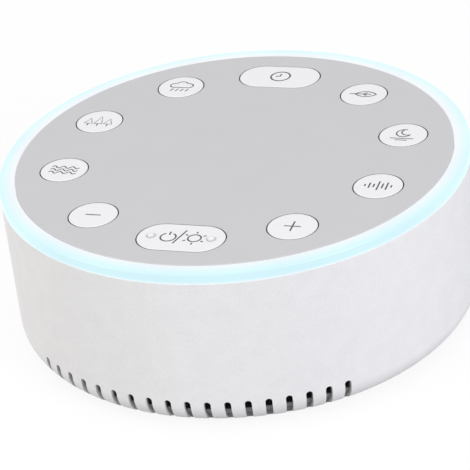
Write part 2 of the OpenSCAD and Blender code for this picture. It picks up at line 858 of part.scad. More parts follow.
module speaker_surround() {
    roll_r = roll_w / 2;
    middle_r = roll_in_r + roll_r;
    middle_z = driver_seat_z + surround_t / 2;
    color(black)
    rotate_extrude() {
        translate([cone_r - glue_w, driver_seat_z])
            square([roll_in_r - cone_r + glue_w + surround_t / 2, surround_t]);
        translate([roll_out_r - surround_t / 2, driver_seat_z])
            square([flange_in_r + glue_w - roll_out_r, surround_t]);
        translate([middle_r, middle_z]) intersection() {
            difference() {
                circle(r = roll_r + surround_t / 2);
                circle(r = roll_r - surround_t / 2);
            }
            translate([-2 * roll_r, -2 * roll_r]) square([4 * roll_r, 2 * roll_r]);
        }
    }
}

// Corrugated disc that centres the voice coil, glued under the basket's step
module speaker_spider() {
    in_r = coil_r + 0.15;
    out_r = basket_step_r + 2;
    wave_in_r = in_r + 1.4;
    wave_out_r = basket_step_r - basket_t - 0.6;
    waves = 3;
    wave_h = 0.3;
    steps = 6 * waves;
    wave = [
        for (i = [0:steps])
            [wave_in_r + (wave_out_r - wave_in_r) * i / steps, wave_h * sin(360 * waves * i / steps)]
    ];
    low = concat([[in_r, 0]], wave, [[out_r, 0]]);
    color([0.78, 0.62, 0.30])
    translate([0, 0, spider_z]) rotate_extrude()
        polygon(concat(low, [for (i = [len(low) - 1:-1:0]) low[i] + [0, spider_t]]));
}

module speaker_cone() {
    color(paper_grey)
    rotate_extrude() polygon([
        [cone_r - glue_w, cone_z], [cone_r, cone_z], [cone_r, cone_z + cone_t],
        [coil_r, cone_neck_z + cone_t], [coil_r, cone_neck_z]
    ]);
}

module dust_cap() {
    cap_r = coil_r + 0.8;
    cap_h = 2.2;
    cap_t = 0.3;
    sphere_r = (cap_r * cap_r + cap_h * cap_h) / (2 * cap_h);
    rim_z = cone_z + cone_depth * (cone_r - glue_w - cap_r) / (cone_r - glue_w - coil_r) - 0.05;
    color(paper_grey)
    rotate_extrude() intersection() {
        translate([0, rim_z + sphere_r - cap_h]) difference() {
            circle(r = sphere_r);
            circle(r = sphere_r - cap_t);
        }
        translate([0, rim_z - cap_h]) square([cap_r, cap_h]);
    }
}

module voice_coil() {
    former_top_z = magnet_z + 1.6;
    winding_h = plate_t + 2 * cone_travel;
    color(copper)
    difference() {
        union() {
            translate([0, 0, cone_neck_z - 0.5]) cylinder(r = coil_r, h = former_top_z - cone_neck_z + 0.5);
            translate([0, 0, top_plate_z + plate_t / 2 - winding_h / 2])
                cylinder(r = winding_r, h = winding_h);
        }
        translate([0, 0, cone_z]) cylinder(r = coil_r - former_t, h = former_top_z);
    }
}

module speaker_top_plate() {
    color(steel)
    translate([0, 0, top_plate_z]) difference() {
        cylinder(d = magnet_d - 2, h = plate_t);
        translate([0, 0, -cut]) cylinder(r = plate_in_r, h = plate_t + 2 * cut);
    }
}

module speaker_magnet() {
    color(paper_grey)
    translate([0, 0, magnet_z]) difference() {
        cylinder(d = magnet_d, h = magnet_t);
        translate([0, 0, -cut]) cylinder(r = plate_in_r + 1.4, h = magnet_t + 2 * cut);
    }
}

module speaker_yoke() {
    color(steel) {
        translate([0, 0, top_plate_z]) cylinder(r = pole_r, h = yoke_z - top_plate_z + plate_t / 2);
        translate([0, 0, yoke_z]) cylinder(d = magnet_d - 2, h = plate_t);
    }
}

module speaker_terminals() {
    strip_w = 6;
    color([0.55, 0.40, 0.22])
    rotate([0, 0, terminal_angle])
        translate([basket_step_r + 0.2, -strip_w / 2, strip_z]) cube([strip_reach, strip_w, strip_t]);
}

module speaker_screws() {
    color(steel)
    at_angles(diagonal_angles, driver_screw_r)
        translate([0, 0, driver_seat_z]) rotate([180, 0, 0])
            screw(gasket_t + basket_t + driver_grip_l - pilot_spare);
}

module speaker_leads() {
    solder = [basket_step_r + strip_reach - solder_inset, strip_z + strip_t];
    plug = [speaker_plug_r, connector_z];
    color([0.75, 0.12, 0.10])
    rotate([0, 0, terminal_angle]) for (side = [-1, 1])
        translate([0, side * tab_pitch / 2, 0])
            lead(lead_route(plug, [0, -3], solder, [0, 5]));
}

// ---- Power inlet ----

module jack_housing() {
    color(black)
    difference() {
        union() {
            translate([-jack_w / 2, jack_rear_y, jack_z - jack_w / 2]) cube([jack_w, jack_l, jack_w]);
            translate([0, jack_front_y - cut, jack_z]) rotate([-90, 0, 0])
                cylinder(r = collar_r, h = jack_mouth_y - jack_front_y + cut);
        }
        translate([0, plug_end_y, jack_z]) rotate([-90, 0, 0]) cylinder(d = plug_d, h = plug_depth + cut);
    }
}

module jack_pin() {
    color(steel)
    translate([0, plug_end_y, jack_z]) rotate([-90, 0, 0]) {
        cylinder(d = jack_pin_d, h = plug_depth - 1.6, $fn = 32);
        translate([0, 0, plug_depth - 1.6])
            cylinder(d1 = jack_pin_d, d2 = jack_pin_d / 2, h = 0.5, $fn = 32);
    }
}

module jack_tabs() {
    tab_w = 1.6;
    tab_t = 1.4;
    color(steel)
    for (side = [-1, 1])
        translate([side * tab_pitch / 2 - tab_w / 2, jack_rear_y - tab_l, jack_z - tab_t / 2])
            cube([tab_w, tab_l, tab_t]);
}

module power_leads() {
    plug = [power_plug_y, connector_z];
    tab = [jack_rear_y - tab_l, jack_z];
    color([0.75, 0.12, 0.10])
    rotate([0, 0, timer_angle]) for (side = [-1, 1])
        translate([0, side * tab_pitch / 2, 0])
            lead(lead_route(plug, [0, -4], tab, [-4, 0]));
}

body_shell();
base_cover();
rubber_feet();
base_screws();
light_ring();
top_panel();
panel_screws();
key_timer();
key_relax();
key_calm();
key_white_noise();
key_plus();
key_power();
key_minus();
key_ocean();
key_forest();
key_rain();
plunger_timer();
plunger_relax();
plunger_calm();
plunger_white_noise();
plunger_plus();
plunger_power();
plunger_minus();
plunger_ocean();
plunger_forest();
plunger_rain();
control_board();
board_screws();
switch_housings();
ring_leds();
sound_chip();
amplifier_chip();
bulk_capacitor();
lead_connectors();
speaker_basket();
speaker_gasket();
speaker_surround();
speaker_spider();
speaker_cone();
dust_cap();
voice_coil();
speaker_top_plate();
speaker_magnet();
speaker_yoke();
speaker_terminals();
speaker_screws();
speaker_leads();
jack_housing();
jack_pin();
jack_tabs();
power_leads();
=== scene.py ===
import json
import math

import bmesh
import bpy
from mathutils import Matrix, Vector


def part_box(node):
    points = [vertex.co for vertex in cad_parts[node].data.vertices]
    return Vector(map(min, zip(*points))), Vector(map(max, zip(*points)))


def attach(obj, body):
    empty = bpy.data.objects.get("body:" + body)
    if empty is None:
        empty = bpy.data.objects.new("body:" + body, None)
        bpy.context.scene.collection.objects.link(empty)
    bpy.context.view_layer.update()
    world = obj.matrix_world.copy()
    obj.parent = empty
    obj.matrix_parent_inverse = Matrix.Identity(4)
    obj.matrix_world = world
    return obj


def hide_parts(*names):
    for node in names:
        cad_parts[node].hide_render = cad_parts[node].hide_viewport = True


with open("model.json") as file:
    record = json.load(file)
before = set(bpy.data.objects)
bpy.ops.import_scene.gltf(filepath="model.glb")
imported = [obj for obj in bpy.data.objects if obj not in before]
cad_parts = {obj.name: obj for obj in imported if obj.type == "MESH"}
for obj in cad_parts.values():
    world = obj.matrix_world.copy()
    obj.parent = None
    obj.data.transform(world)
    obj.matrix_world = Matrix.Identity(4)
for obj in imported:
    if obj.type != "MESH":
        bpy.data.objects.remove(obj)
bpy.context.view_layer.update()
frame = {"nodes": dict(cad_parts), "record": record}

print("frame loaded:", len(frame["nodes"]), "nodes")

mm = 0.001
fullTurn = 2 * math.pi
quarters = (0, 90, 180, 270)
diagonals = (45, 135, 225, 315)
sameSpot = 1e-7  # points closer than this are merged

camera = {
    "place": (0.17979, -0.49387, 0.31643),
    "azimuth": 20.2306,
    "elevation": 29.4191,
    "roll": -6.8732,
    "lens": 178.63,
    "sensor": 36.0,
}


def makeCamera(s):
    azimuth, elevation, roll = (math.radians(s[k]) for k in ("azimuth", "elevation", "roll"))
    back = Vector((
        math.sin(azimuth) * math.cos(elevation),
        -math.cos(azimuth) * math.cos(elevation),
        math.sin(elevation),
    ))
    right = Vector((math.cos(azimuth), math.sin(azimuth), 0))
    turn = Matrix((right, back.cross(right), back)).transposed() @ Matrix.Rotation(roll, 3, "Z")
    data = bpy.data.cameras.new("camera")
    data.lens = s["lens"]
    data.sensor_width = s["sensor"]
    shot = bpy.data.objects.new("camera", data)
    shot.matrix_world = Matrix.Translation(s["place"]) @ turn.to_4x4()
    bpy.context.scene.collection.objects.link(shot)
    bpy.context.scene.camera = shot


makeCamera(camera)
print("camera placed")


# shader groups

sparkGrain = {
    "detail": 3.0, "roughness": 0.65, "pitSmoothness": 0.6, "pitShare": 0.5,
    "mottleDetail": 2.0, "mottleRoughness": 0.5, "mottleShare": 0.3, "span": (0.3, 0.7),
}
handling = {"detail": 4.0, "roughness": 0.6, "span": (0.35, 0.65)}
# the slots' mask is painted shade inside the vent slots
slotMask = {  # where the slots' mask rises: by facing, then by depth
    "facing": (0.3, 0.6), "behind": (0.03 * mm, 0.25 * mm), "inHole": (0.3 * mm, 1.3 * mm),
    "above": 0.3 * mm,
}


def addNode(tree, kind, **settings):
    node = tree.nodes.new(kind)
    for key, value in settings.items():
        setattr(node, key, value)
    return node


def feed(tree, socket, source):
    # the source is another socket, a number or a colour of three numbers
    if isinstance(source, bpy.types.NodeSocket):
        tree.links.new(source, socket)
    elif isinstance(source, tuple):
        socket.default_value = (*source, 1)
    else:
        socket.default_value = source


def addMath(tree, operation, *terms):
    node = addNode(tree, "ShaderNodeMath", operation=operation)
    for socket, term in zip(node.inputs, terms):
        feed(tree, socket, term)
    return node.outputs[0]


def addLength(tree, x, y):
    square = addMath(tree, "MULTIPLY_ADD", x, x, addMath(tree, "MULTIPLY", y, y))
    return addMath(tree, "SQRT", square)


def addRange(tree, value, low, high, toLow=0.0, toHigh=1.0):
    span = addNode(tree, "ShaderNodeMapRange", clamp=True)
    ends = {"Value": value, "From Min": low, "From Max": high, "To Min": toLow, "To Max": toHigh}
    for label, end in ends.items():
        feed(tree, span.inputs[label], end)
    return span.outputs["Result"]


def newGroup(name, inputs, outputs):
    # a group with number inputs, at their usual values, and number outputs
    tree = bpy.data.node_groups.new(name, "ShaderNodeTree")
    for label, value in inputs.items():
        socket = tree.interface.new_socket(label, in_out="INPUT", socket_type="NodeSocketFloat")
        socket.default_value = value
    for label in outputs:
        tree.interface.new_socket(label, in_out="OUTPUT", socket_type="NodeSocketFloat")
    return tree, tree.nodes.new("NodeGroupInput").outputs, tree.nodes.new("NodeGroupOutput").inputs


def surfacePoint(tree, size):
    # Object coordinates, measured in features of the given size
    coords = addNode(tree, "ShaderNodeTexCoord")
    scaled = addNode(tree, "ShaderNodeVectorMath", operation="SCALE")
    tree.links.new(coords.outputs["Object"], scaled.inputs[0])
    tree.links.new(addMath(tree, "DIVIDE", 1.0, size), scaled.inputs["Scale"])
    return scaled.outputs[0]


def addNoise(tree, point, detail, roughness):
    noise = addNode(tree, "ShaderNodeTexNoise")
    noise.inputs["Scale"].default_value = 1.0
    noise.inputs["Detail"].default_value = detail
    noise.inputs["Roughness"].default_value = roughness
    tree.links.new(point, noise.inputs["Vector"])
    return noise.outputs["Fac"]


def fromAxis(tree):
    # distance from the Z axis, the three coordinates, and the vector out from the axis
    point = addNode(tree, "ShaderNodeTexCoord").outputs["Object"]
    place = addNode(tree, "ShaderNodeSeparateXYZ")
    tree.links.new(point, place.inputs[0])
    flat = addNode(tree, "ShaderNodeVectorMath", operation="MULTIPLY")
    flat.inputs[1].default_value = (1, 1, 0)
    tree.links.new(point, flat.inputs[0])
    across = addNode(tree, "ShaderNodeVectorMath", operation="LENGTH")
    tree.links.new(flat.outputs[0], across.inputs[0])
    return across.outputs["Value"], place.outputs, flat.outputs[0]


def makeSparkGrain(s):
    # texture that a spark-eroded mould leaves: Height for the bump, Tone for the colour
    tree, given, made = newGroup("sparkGrain", {"Grain": 0.4 * mm, "Mottle": 6 * mm}, ("Height", "Tone"))
    point = surfacePoint(tree, given["Grain"])
    fine = addNoise(tree, point, s["detail"], s["roughness"])
    pits = addNode(tree, "ShaderNodeTexVoronoi", feature="SMOOTH_F1")
    pits.inputs["Scale"].default_value = 1.0
    pits.inputs["Smoothness"].default_value = s["pitSmoothness"]
    tree.links.new(point, pits.inputs["Vector"])
    height = addMath(tree, "MULTIPLY_ADD", pits.outputs["Distance"], s["pitShare"], fine)
    tree.links.new(height, made["Height"])
    mottle = addNoise(tree, surfacePoint(tree, given["Mottle"]), s["mottleDetail"], s["mottleRoughness"])
    tone = addNode(tree, "ShaderNodeMix", data_type="FLOAT")
    tone.inputs[0].default_value = s["mottleShare"]
    for socket, noise in ((tone.inputs[2], fine), (tone.inputs[3], mottle)):
        tree.links.new(addRange(tree, noise, *s["span"]), socket)
    tree.links.new(tone.outputs[0], made["Tone"])
    return tree


def makeHandling(s):
    # roughness in broad patches, where hands have polished the surface a little
    tree, given, made = newGroup("handling", {"Patch": 20 * mm, "Low": 0.45, "High": 0.55}, ("Rough",))
    patch = addNoise(tree, surfacePoint(tree, given["Patch"]), s["detail"], s["roughness"])
    tree.links.new(addRange(tree, patch, *s["span"], given["Low"], given["High"]), made["Rough"])
    return tree


def makeEdgeRub():
    # mask of the outer edges, where a finish wears first
    tree, given, made = newGroup("edgeRub", {"Start": 0.52, "End": 0.6}, ("Mask",))
    shape = addNode(tree, "ShaderNodeNewGeometry")
    mask = addRange(tree, shape.outputs["Pointiness"], given["Start"], given["End"])
    tree.links.new(mask, made["Mask"])
    return tree


def skinDepth(tree, given, across, height):
    # how deep a point lies under a wall whose foot is rounded
    outward = addMath(tree, "SUBTRACT", across, addMath(tree, "SUBTRACT", given["Radius"], given["Round"]))
    down = addMath(tree, "SUBTRACT", addMath(tree, "ADD", given["Under"], given["Round"]), height)
    rounded = addLength(tree, *(addMath(tree, "MAXIMUM", term, 0.0) for term in (outward, down)))
    straight = addMath(tree, "MINIMUM", addMath(tree, "MAXIMUM", outward, down), 0.0)
    return addMath(tree, "SUBTRACT", given["Round"], addMath(tree, "ADD", rounded, straight))


def makeSlotShade(s):
    # mask of painted shade on the faces inside the vent slots: full in the hole, and up to
    # Most by depth on the side walls and a little sooner on the faces that look outwards
    tree, given, made = newGroup("slotShade", {
        "Radius": 60 * mm, "Round": 6 * mm, "Under": 0.7 * mm, "Inner": 55 * mm, "Start": 0.8 * mm,
        "Reach": 1.5 * mm, "Most": 0.5, "Hole": 5 * mm, "Full": 5.3 * mm, "Top": 8 * mm,
    }, ("Mask",))
    across, place, radial = fromAxis(tree)
    height = place["Z"]
    depth = skinDepth(tree, given, across, height)
    side = addRange(tree, depth, given["Start"], given["Reach"], 0.0, given["Most"])
    facing = addNode(tree, "ShaderNodeVectorMath", operation="DOT_PRODUCT")
    tree.links.new(addNode(tree, "ShaderNodeNewGeometry").outputs["True Normal"], facing.inputs[0])
    tree.links.new(radial, facing.inputs[1])
    outwards = addMath(tree, "DIVIDE", facing.outputs["Value"], across)
    back = addMath(
        tree, "MULTIPLY", addRange(tree, outwards, *s["facing"]),
        addRange(tree, depth, *s["behind"], 0.0, given["Most"]),
    )
    hole = addMath(
        tree, "MULTIPLY", addRange(tree, height, given["Hole"], given["Full"]),
        addRange(tree, depth, *s["inHole"]),
    )
    mask = addMath(tree, "MAXIMUM", addMath(tree, "MAXIMUM", side, back), hole)
    near = addMath(tree, "GREATER_THAN", across, given["Inner"])
    low = addMath(tree, "LESS_THAN", height, addMath(tree, "ADD", given["Top"], s["above"]))
    mask = addMath(tree, "MULTIPLY", mask, addMath(tree, "MULTIPLY", near, low))
    tree.links.new(mask, made["Mask"])
    return tree


def makeNibShade():
    # mask of two rings, at the same distance either side of x = 0, for painted shade round the feet of the
    # nibs
    tree, given, made = newGroup("nibShade", {
        "Reach": 7.6 * mm, "Middle": -43 * mm, "Inner": 0.7 * mm, "Radius": 1.1 * mm, "Outer": 1.4 * mm,
    }, ("Mask",))
    place = fromAxis(tree)[1]
    x = addMath(tree, "SUBTRACT", addMath(tree, "ABSOLUTE", place["X"]), given["Reach"])
    y = addMath(tree, "SUBTRACT", place["Y"], given["Middle"])
    away = addLength(tree, x, y)
    mask = addMath(
        tree, "MULTIPLY", addRange(tree, away, given["Inner"], given["Radius"]),
        addRange(tree, away, given["Radius"], given["Outer"], 1.0, 0.0),
    )
    tree.links.new(mask, made["Mask"])
    return tree


def makeGapShade():
    # mask of painted shade on the walls of the gaps round the keys, from just below their top edges
    tree, given, made = newGroup("gapShade", {
        "Top": 44 * mm, "Start": 0.05 * mm, "Full": 0.15 * mm, "Outer": 54 * mm,
    }, ("Mask",))
    across, place = fromAxis(tree)[:2]
    down = addMath(tree, "SUBTRACT", given["Top"], place["Z"])
    inside = addMath(tree, "LESS_THAN", across, given["Outer"])
    mask = addMath(tree, "MULTIPLY", addRange(tree, down, given["Start"], given["Full"]), inside)
    tree.links.new(mask, made["Mask"])
    return tree


groups = {
    "grain": makeSparkGrain(sparkGrain), "handling": makeHandling(handling), "rub": makeEdgeRub(),
    "slots": makeSlotShade(slotMask), "nibs": makeNibShade(), "gaps": makeGapShade(),
}


# materials

def newMaterial(name):
    material = bpy.data.materials.new(name)
    material.use_nodes = True
    return material, material.node_tree, material.node_tree.nodes["Principled BSDF"]


def useGroup(tree, key, **values):
    node = addNode(tree, "ShaderNodeGroup", node_tree=groups[key])
    for label, value in values.items():
        node.inputs[label].default_value = value
    return node.outputs


def mixColours(tree, factor, first, second):
    mix = addNode(tree, "ShaderNodeMix", data_type="RGBA")
    for socket, source in ((mix.inputs[0], factor), (mix.inputs[6], first), (mix.inputs[7], second)):
        feed(tree, socket, source)
    return mix.outputs[2]


def shade(colour, factor):
    return tuple(min(1.0, c * factor) for c in colour)


def addFinish(tree, shader, s):
    # the grain and roughness that every finish here has, and its speckled colour
    grain = useGroup(tree, "grain", Grain=s["grain"], Mottle=s["mottle"])
    rough = useGroup(tree, "handling", Patch=s["patch"], Low=s["rough"][0], High=s["rough"][1])
    tree.links.new(rough["Rough"], shader.inputs["Roughness"])
    bump = addNode(tree, "ShaderNodeBump")
    bump.inputs["Distance"].default_value = s["depth"]
    bump.inputs["Strength"].default_value = s["strength"]
    tree.links.new(grain["Height"], bump.inputs["Height"])
    tree.links.new(bump.outputs["Normal"], shader.inputs["Normal"])
    dark, light = shade(s["colour"], 1 - s["speckle"]), shade(s["colour"], 1 + s["speckle"])
    return mixColours(tree, grain["Tone"], dark, light)


def mouldedPlastic(name, s):
    material, tree, shader = newMaterial(name)
    tree.links.new(addFinish(tree, shader, s), shader.inputs["Base Color"])
    return material


def platedMetal(name, s):
    # duller in its patches, brighter along rubbed edges
    material, tree, shader = newMaterial(name)
    shader.inputs["Metallic"].default_value = 1.0
    plain = addFinish(tree, shader, s)
    bright = shade(s["colour"], s["rubbed"])
    colour = mixColours(tree, useGroup(tree, "rub")["Mask"], plain, bright)
    tree.links.new(colour, shader.inputs["Base Color"])
    return material


def addShade(name, key, shadow, **values):
    # leads a finished material to a painted shadow colour where a group's mask is full
    tree = materials[name].node_tree
    target = tree.nodes["Principled BSDF"].inputs["Base Color"]
    mask = useGroup(tree, key, **values)["Mask"]
    tree.links.new(mixColours(tree, mask, target.links[0].from_socket, shadow), target)


plastics = {
    "case_plastic": {
        "colour": (0.884, 0.881, 0.884), "speckle": 0.055, "grain": 0.42 * mm, "mottle": 5 * mm,
        "depth": 0.03 * mm, "strength": 0.5, "rough": (0.52, 0.60), "patch": 18 * mm,
    },
    "panel_plastic": {
        "colour": (0.588, 0.588, 0.600), "speckle": 0.015, "grain": 0.3 * mm, "mottle": 6 * mm,
        "depth": 0.012 * mm, "strength": 0.35, "rough": (0.45, 0.55), "patch": 14 * mm,
    },
    "key_plastic": {
        "colour": (0.86, 0.86, 0.873), "speckle": 0.02, "grain": 0.3 * mm, "mottle": 3 * mm,
        "depth": 0.012 * mm, "strength": 0.35, "rough": (0.38, 0.48), "patch": 5 * mm,
    },
    "print_ink": {
        "colour": (0.07, 0.07, 0.074), "speckle": 0.15, "grain": 0.12 * mm, "mottle": 1 * mm,
        "depth": 0.006 * mm, "strength": 0.4, "rough": (0.4, 0.55), "patch": 2 * mm,
    },
    "foot_rubber": {
        "colour": (0.035, 0.035, 0.036), "speckle": 0.2, "grain": 0.3 * mm, "mottle": 4 * mm,
        "depth": 0.03 * mm, "strength": 0.6, "rough": (0.75, 0.9), "patch": 6 * mm,
    },
    "switch_plastic": {
        "colour": (0.03, 0.03, 0.032), "speckle": 0.1, "grain": 0.3 * mm, "mottle": 3 * mm,
        "depth": 0.01 * mm, "strength": 0.3, "rough": (0.35, 0.5), "patch": 3 * mm,
    },
    "jack_plastic": {
        "colour": (0.025, 0.025, 0.027), "speckle": 0.1, "grain": 0.3 * mm, "mottle": 3 * mm,
        "depth": 0.012 * mm, "strength": 0.35, "rough": (0.38, 0.5), "patch": 3 * mm,
    },
    "connector_plastic": {
        "colour": (0.72, 0.68, 0.58), "speckle": 0.03, "grain": 0.3 * mm, "mottle": 3 * mm,
        "depth": 0.01 * mm, "strength": 0.3, "rough": (0.4, 0.5), "patch": 4 * mm,
    },
    "circuit_board": {
        "colour": (0.03, 0.13, 0.06), "speckle": 0.12, "grain": 0.5 * mm, "mottle": 4 * mm,
        "depth": 0.01 * mm, "strength": 0.3, "rough": (0.25, 0.35), "patch": 8 * mm,
    },
    "led_resin": {
        "colour": (0.85, 0.82, 0.62), "speckle": 0.05, "grain": 0.4 * mm, "mottle": 2 * mm,
        "depth": 0.01 * mm, "strength": 0.2, "rough": (0.15, 0.25), "patch": 3 * mm,
    },
    "capacitor_sleeve": {
        "colour": (0.02, 0.03, 0.12), "speckle": 0.08, "grain": 0.5 * mm, "mottle": 3 * mm,
        "depth": 0.01 * mm, "strength": 0.2, "rough": (0.2, 0.3), "patch": 3 * mm,
    },
    "foam": {
        "colour": (0.03, 0.03, 0.03), "speckle": 0.3, "grain": 0.35 * mm, "mottle": 3 * mm,
        "depth": 0.08 * mm, "strength": 0.9, "rough": (0.9, 1.0), "patch": 5 * mm,
    },
    "cone_paper": {
        "colour": (0.045, 0.045, 0.047), "speckle": 0.3, "grain": 0.5 * mm, "mottle": 3 * mm,
        "depth": 0.05 * mm, "strength": 0.8, "rough": (0.85, 0.95), "patch": 5 * mm,
    },
    "spider_cloth": {
        "colour": (0.45, 0.28, 0.09), "speckle": 0.2, "grain": 0.4 * mm, "mottle": 2 * mm,
        "depth": 0.05 * mm, "strength": 0.8, "rough": (0.75, 0.9), "patch": 5 * mm,
    },
    "terminal_board": {
        "colour": (0.22, 0.11, 0.04), "speckle": 0.12, "grain": 0.4 * mm, "mottle": 2 * mm,
        "depth": 0.01 * mm, "strength": 0.3, "rough": (0.45, 0.6), "patch": 3 * mm,
    },
    "lead_sleeve": {
        "colour": (0.45, 0.02, 0.015), "speckle": 0.05, "grain": 0.4 * mm, "mottle": 3 * mm,
        "depth": 0.006 * mm, "strength": 0.2, "rough": (0.35, 0.45), "patch": 5 * mm,
    },
    "ferrite": {
        "colour": (0.05, 0.05, 0.053), "speckle": 0.25, "grain": 0.35 * mm, "mottle": 3 * mm,
        "depth": 0.03 * mm, "strength": 0.6, "rough": (0.55, 0.7), "patch": 6 * mm,
    },
}
metals = {
    "screw_steel": {
        "colour": (0.58, 0.59, 0.61), "speckle": 0.1, "grain": 0.25 * mm, "mottle": 2 * mm,
        "depth": 0.008 * mm, "strength": 0.4, "rough": (0.28, 0.42), "patch": 2 * mm, "rubbed": 1.2,
    },
    "speaker_steel": {
        "colour": (0.52, 0.53, 0.55), "speckle": 0.1, "grain": 0.4 * mm, "mottle": 5 * mm,
        "depth": 0.008 * mm, "strength": 0.4, "rough": (0.35, 0.5), "patch": 8 * mm, "rubbed": 1.15,
    },
    "contact_metal": {
        "colour": (0.73, 0.72, 0.70), "speckle": 0.06, "grain": 0.2 * mm, "mottle": 2 * mm,
        "depth": 0.004 * mm, "strength": 0.4, "rough": (0.15, 0.28), "patch": 2 * mm, "rubbed": 1.1,
    },
    "copper_wire": {
        "colour": (0.76, 0.36, 0.19), "speckle": 0.1, "grain": 0.2 * mm, "mottle": 2 * mm,
        "depth": 0.02 * mm, "strength": 0.4, "rough": (0.25, 0.35), "patch": 2 * mm, "rubbed": 1.1,
    },
}

materials = {name: mouldedPlastic(name, s) for name, s in plastics.items()}
materials.update({name: platedMetal(name, s) for name, s in metals.items()})
print("materials made:", len(materials))


# shared modelling steps

fewSteps, usualSteps, manySteps = 24, 48, 64  # round a turned shape
cutSpare = 1 * mm  # how far a cutter reaches past what it cuts
overlap, smallOverlap = 0.3 * mm, 0.1 * mm  # how far a joined shell runs into its neighbour
hair = 0.01 * mm  # less than any step between two levels


def addPiece(name, bm, body, finish, replaces=(), sharp=35):
    # a finished bmesh becomes a piece that rides on a body
    mesh = bpy.data.meshes.new(name)
    bm.to_mesh(mesh)
    bm.free()
    mesh.shade_smooth()
    mesh.set_sharp_from_angle(angle=math.radians(sharp))
    mesh.materials.append(materials[finish])
    piece = bpy.data.objects.new(name, mesh)
    bpy.context.scene.collection.objects.link(piece)
    evened = piece.modifiers.new("evened", "WEIGHTED_NORMAL")
    evened.keep_sharp = True
    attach(piece, body)
    if replaces:
        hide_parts(*replaces)
    return piece


def turned(corners, steps, segments=6):
    # an outline of (radius, z, rounding) corners, spun round Z into a closed solid
    bm = bmesh.new()
    verts = [bm.verts.new((x, 0, z)) for x, z, rounding in corners]
    bm.faces.new(verts)
    for vert, (x, z, rounding) in zip(verts, corners):
        if rounding:
            bmesh.ops.bevel(
                bm, geom=[vert], offset=rounding, offset_type="OFFSET", segments=segments,
                profile=0.5, affect="VERTICES", clamp_overlap=False, material=-1,
            )
    bmesh.ops.delete(bm, geom=bm.faces[:], context="FACES_ONLY")
    onAxis = [e for e in bm.edges if max(v.co.x for v in e.verts) < sameSpot]
    bmesh.ops.delete(bm, geom=onAxis, context="EDGES")
    bmesh.ops.spin(
        bm, geom=bm.verts[:] + bm.edges[:], cent=(0, 0, 0), axis=(0, 0, 1), dvec=(0, 0, 0),
        angle=fullTurn, steps=steps, use_merge=True,
    )
    bmesh.ops.remove_doubles(bm, verts=bm.verts[:], dist=sameSpot)
    bmesh.ops.recalc_face_normals(bm, faces=bm.faces[:])
    return bm


def tube(outer, inner, low, high, steps=usualSteps):
    return turned([(outer, low, 0), (outer, high, 0), (inner, high, 0), (inner, low, 0)], steps)


def rod(radius, low, high, steps=usualSteps):
    return turned([(radius, low, 0), (radius, high, 0), (0, high, 0), (0, low, 0)], steps)


def block(low, high):
    bm = bmesh.new()
    low, high = Vector(low), Vector(high)
    place = Matrix.Translation((low + high) / 2) @ Matrix.Diagonal((*(high - low), 1))
    bmesh.ops.create_cube(bm, size=1, matrix=place)
    return bm


def atAngle(angle, radius=0.0):
    # a place at a radius on the X axis, then turned round Z
    return Matrix.Rotation(math.radians(angle), 4, "Z") @ Matrix.Translation((radius, 0, 0))


def alongY(z):
    # stands a shape that was turned round Z on the inlet's axis, its +Z towards +Y
    return Matrix.Translation((0, 0, z)) @ Matrix.Rotation(math.radians(-90), 4, "X")


def join(bm, *parts):
    # adds closed shells to a bmesh; each part is a bmesh, or a bmesh and its place
    for part in parts:
        shape, place = part if isinstance(part, tuple) else (part, Matrix())
        bmesh.ops.transform(shape, matrix=place, verts=shape.verts[:])
        mesh = bpy.data.meshes.new("part")
        shape.to_mesh(mesh)
        shape.free()
        bm.from_mesh(mesh)
        bpy.data.meshes.remove(mesh)
    return bm


def cut(bm, tool):
    # takes one closed solid from another, with the modifier applied
    things = []
    for shape in (bm, tool):
        mesh = bpy.data.meshes.new("cut")
        shape.to_mesh(mesh)
        shape.free()
        things.append(bpy.data.objects.new("cut", mesh))
        bpy.context.scene.collection.objects.link(things[-1])
    step = things[0].modifiers.new("cut", "BOOLEAN")
    step.operation = "DIFFERENCE"
    step.solver = "EXACT"
    step.object = things[1]
    graph = bpy.context.evaluated_depsgraph_get()
    made = bpy.data.meshes.new_from_object(things[0].evaluated_get(graph))
    result = bmesh.new()
    result.from_mesh(made)
    bpy.data.meshes.remove(made)
    for thing in things:
        mesh = thing.data
        bpy.data.objects.remove(thing)
        bpy.data.meshes.remove(mesh)
    return result


def soften(bm, chosen, size, segments=2, sharp=40):
    # rounds the sharp edges whose two ends both pass the test
    edges = [
        e for e in bm.edges
        if len(e.link_faces) == 2 and e.calc_face_angle(0) > math.radians(sharp)
        and all(chosen(v.co) for v in e.verts)
    ]
    bmesh.ops.bevel(
        bm, geom=edges, offset=size, offset_type="OFFSET", segments=segments, profile=0.5,
        affect="EDGES", clamp_overlap=True, material=-1,
    )


def span(point):
    return math.hypot(point.x, point.y)


# case body: a ring-walled moulding with a deck inside and vent slots round its foot

caseBody = {
    "steps": 304, "footRound": 6.2 * mm, "footSegments": 14, "wall": 2.2 * mm, "lip": 5 * mm,
    "base": 2.4 * mm, "hoopInset": 1.7 * mm, "hoop": 3.1 * mm, "hoopHeight": 4.8 * mm,
    "deck": 2 * mm, "soundHole": 21.8 * mm, "seamRound": 0.15 * mm, "rimRound": 0.1 * mm,
}
vents = {  # the cutters begin at start, and the slots reach down by notch into the hoop
    "count": 18, "pitch": 4.75, "middle": -90.0, "width": 1.7 * mm, "height": 7.5 * mm,
    # shadow, shadeDepths, shadeMost and shadeEdge set the painted shade inside the slots
    "archSides": 22, "notch": 0.3 * mm, "start": 56.2 * mm, "shadow": (0.07, 0.07, 0.073),
    "shadeDepths": (0.2 * mm, 1.5 * mm), "shadeMost": 0.8, "shadeEdge": 0.3 * mm,
}
inlet = {
    "hole": 4.15 * mm, "pad": 6.2 * mm, "front": 1.8 * mm, "cheek": 1.2 * mm, "play": 0.15 * mm,
    "stop": 1.25 * mm, "stopHeight": 2.2 * mm,
}
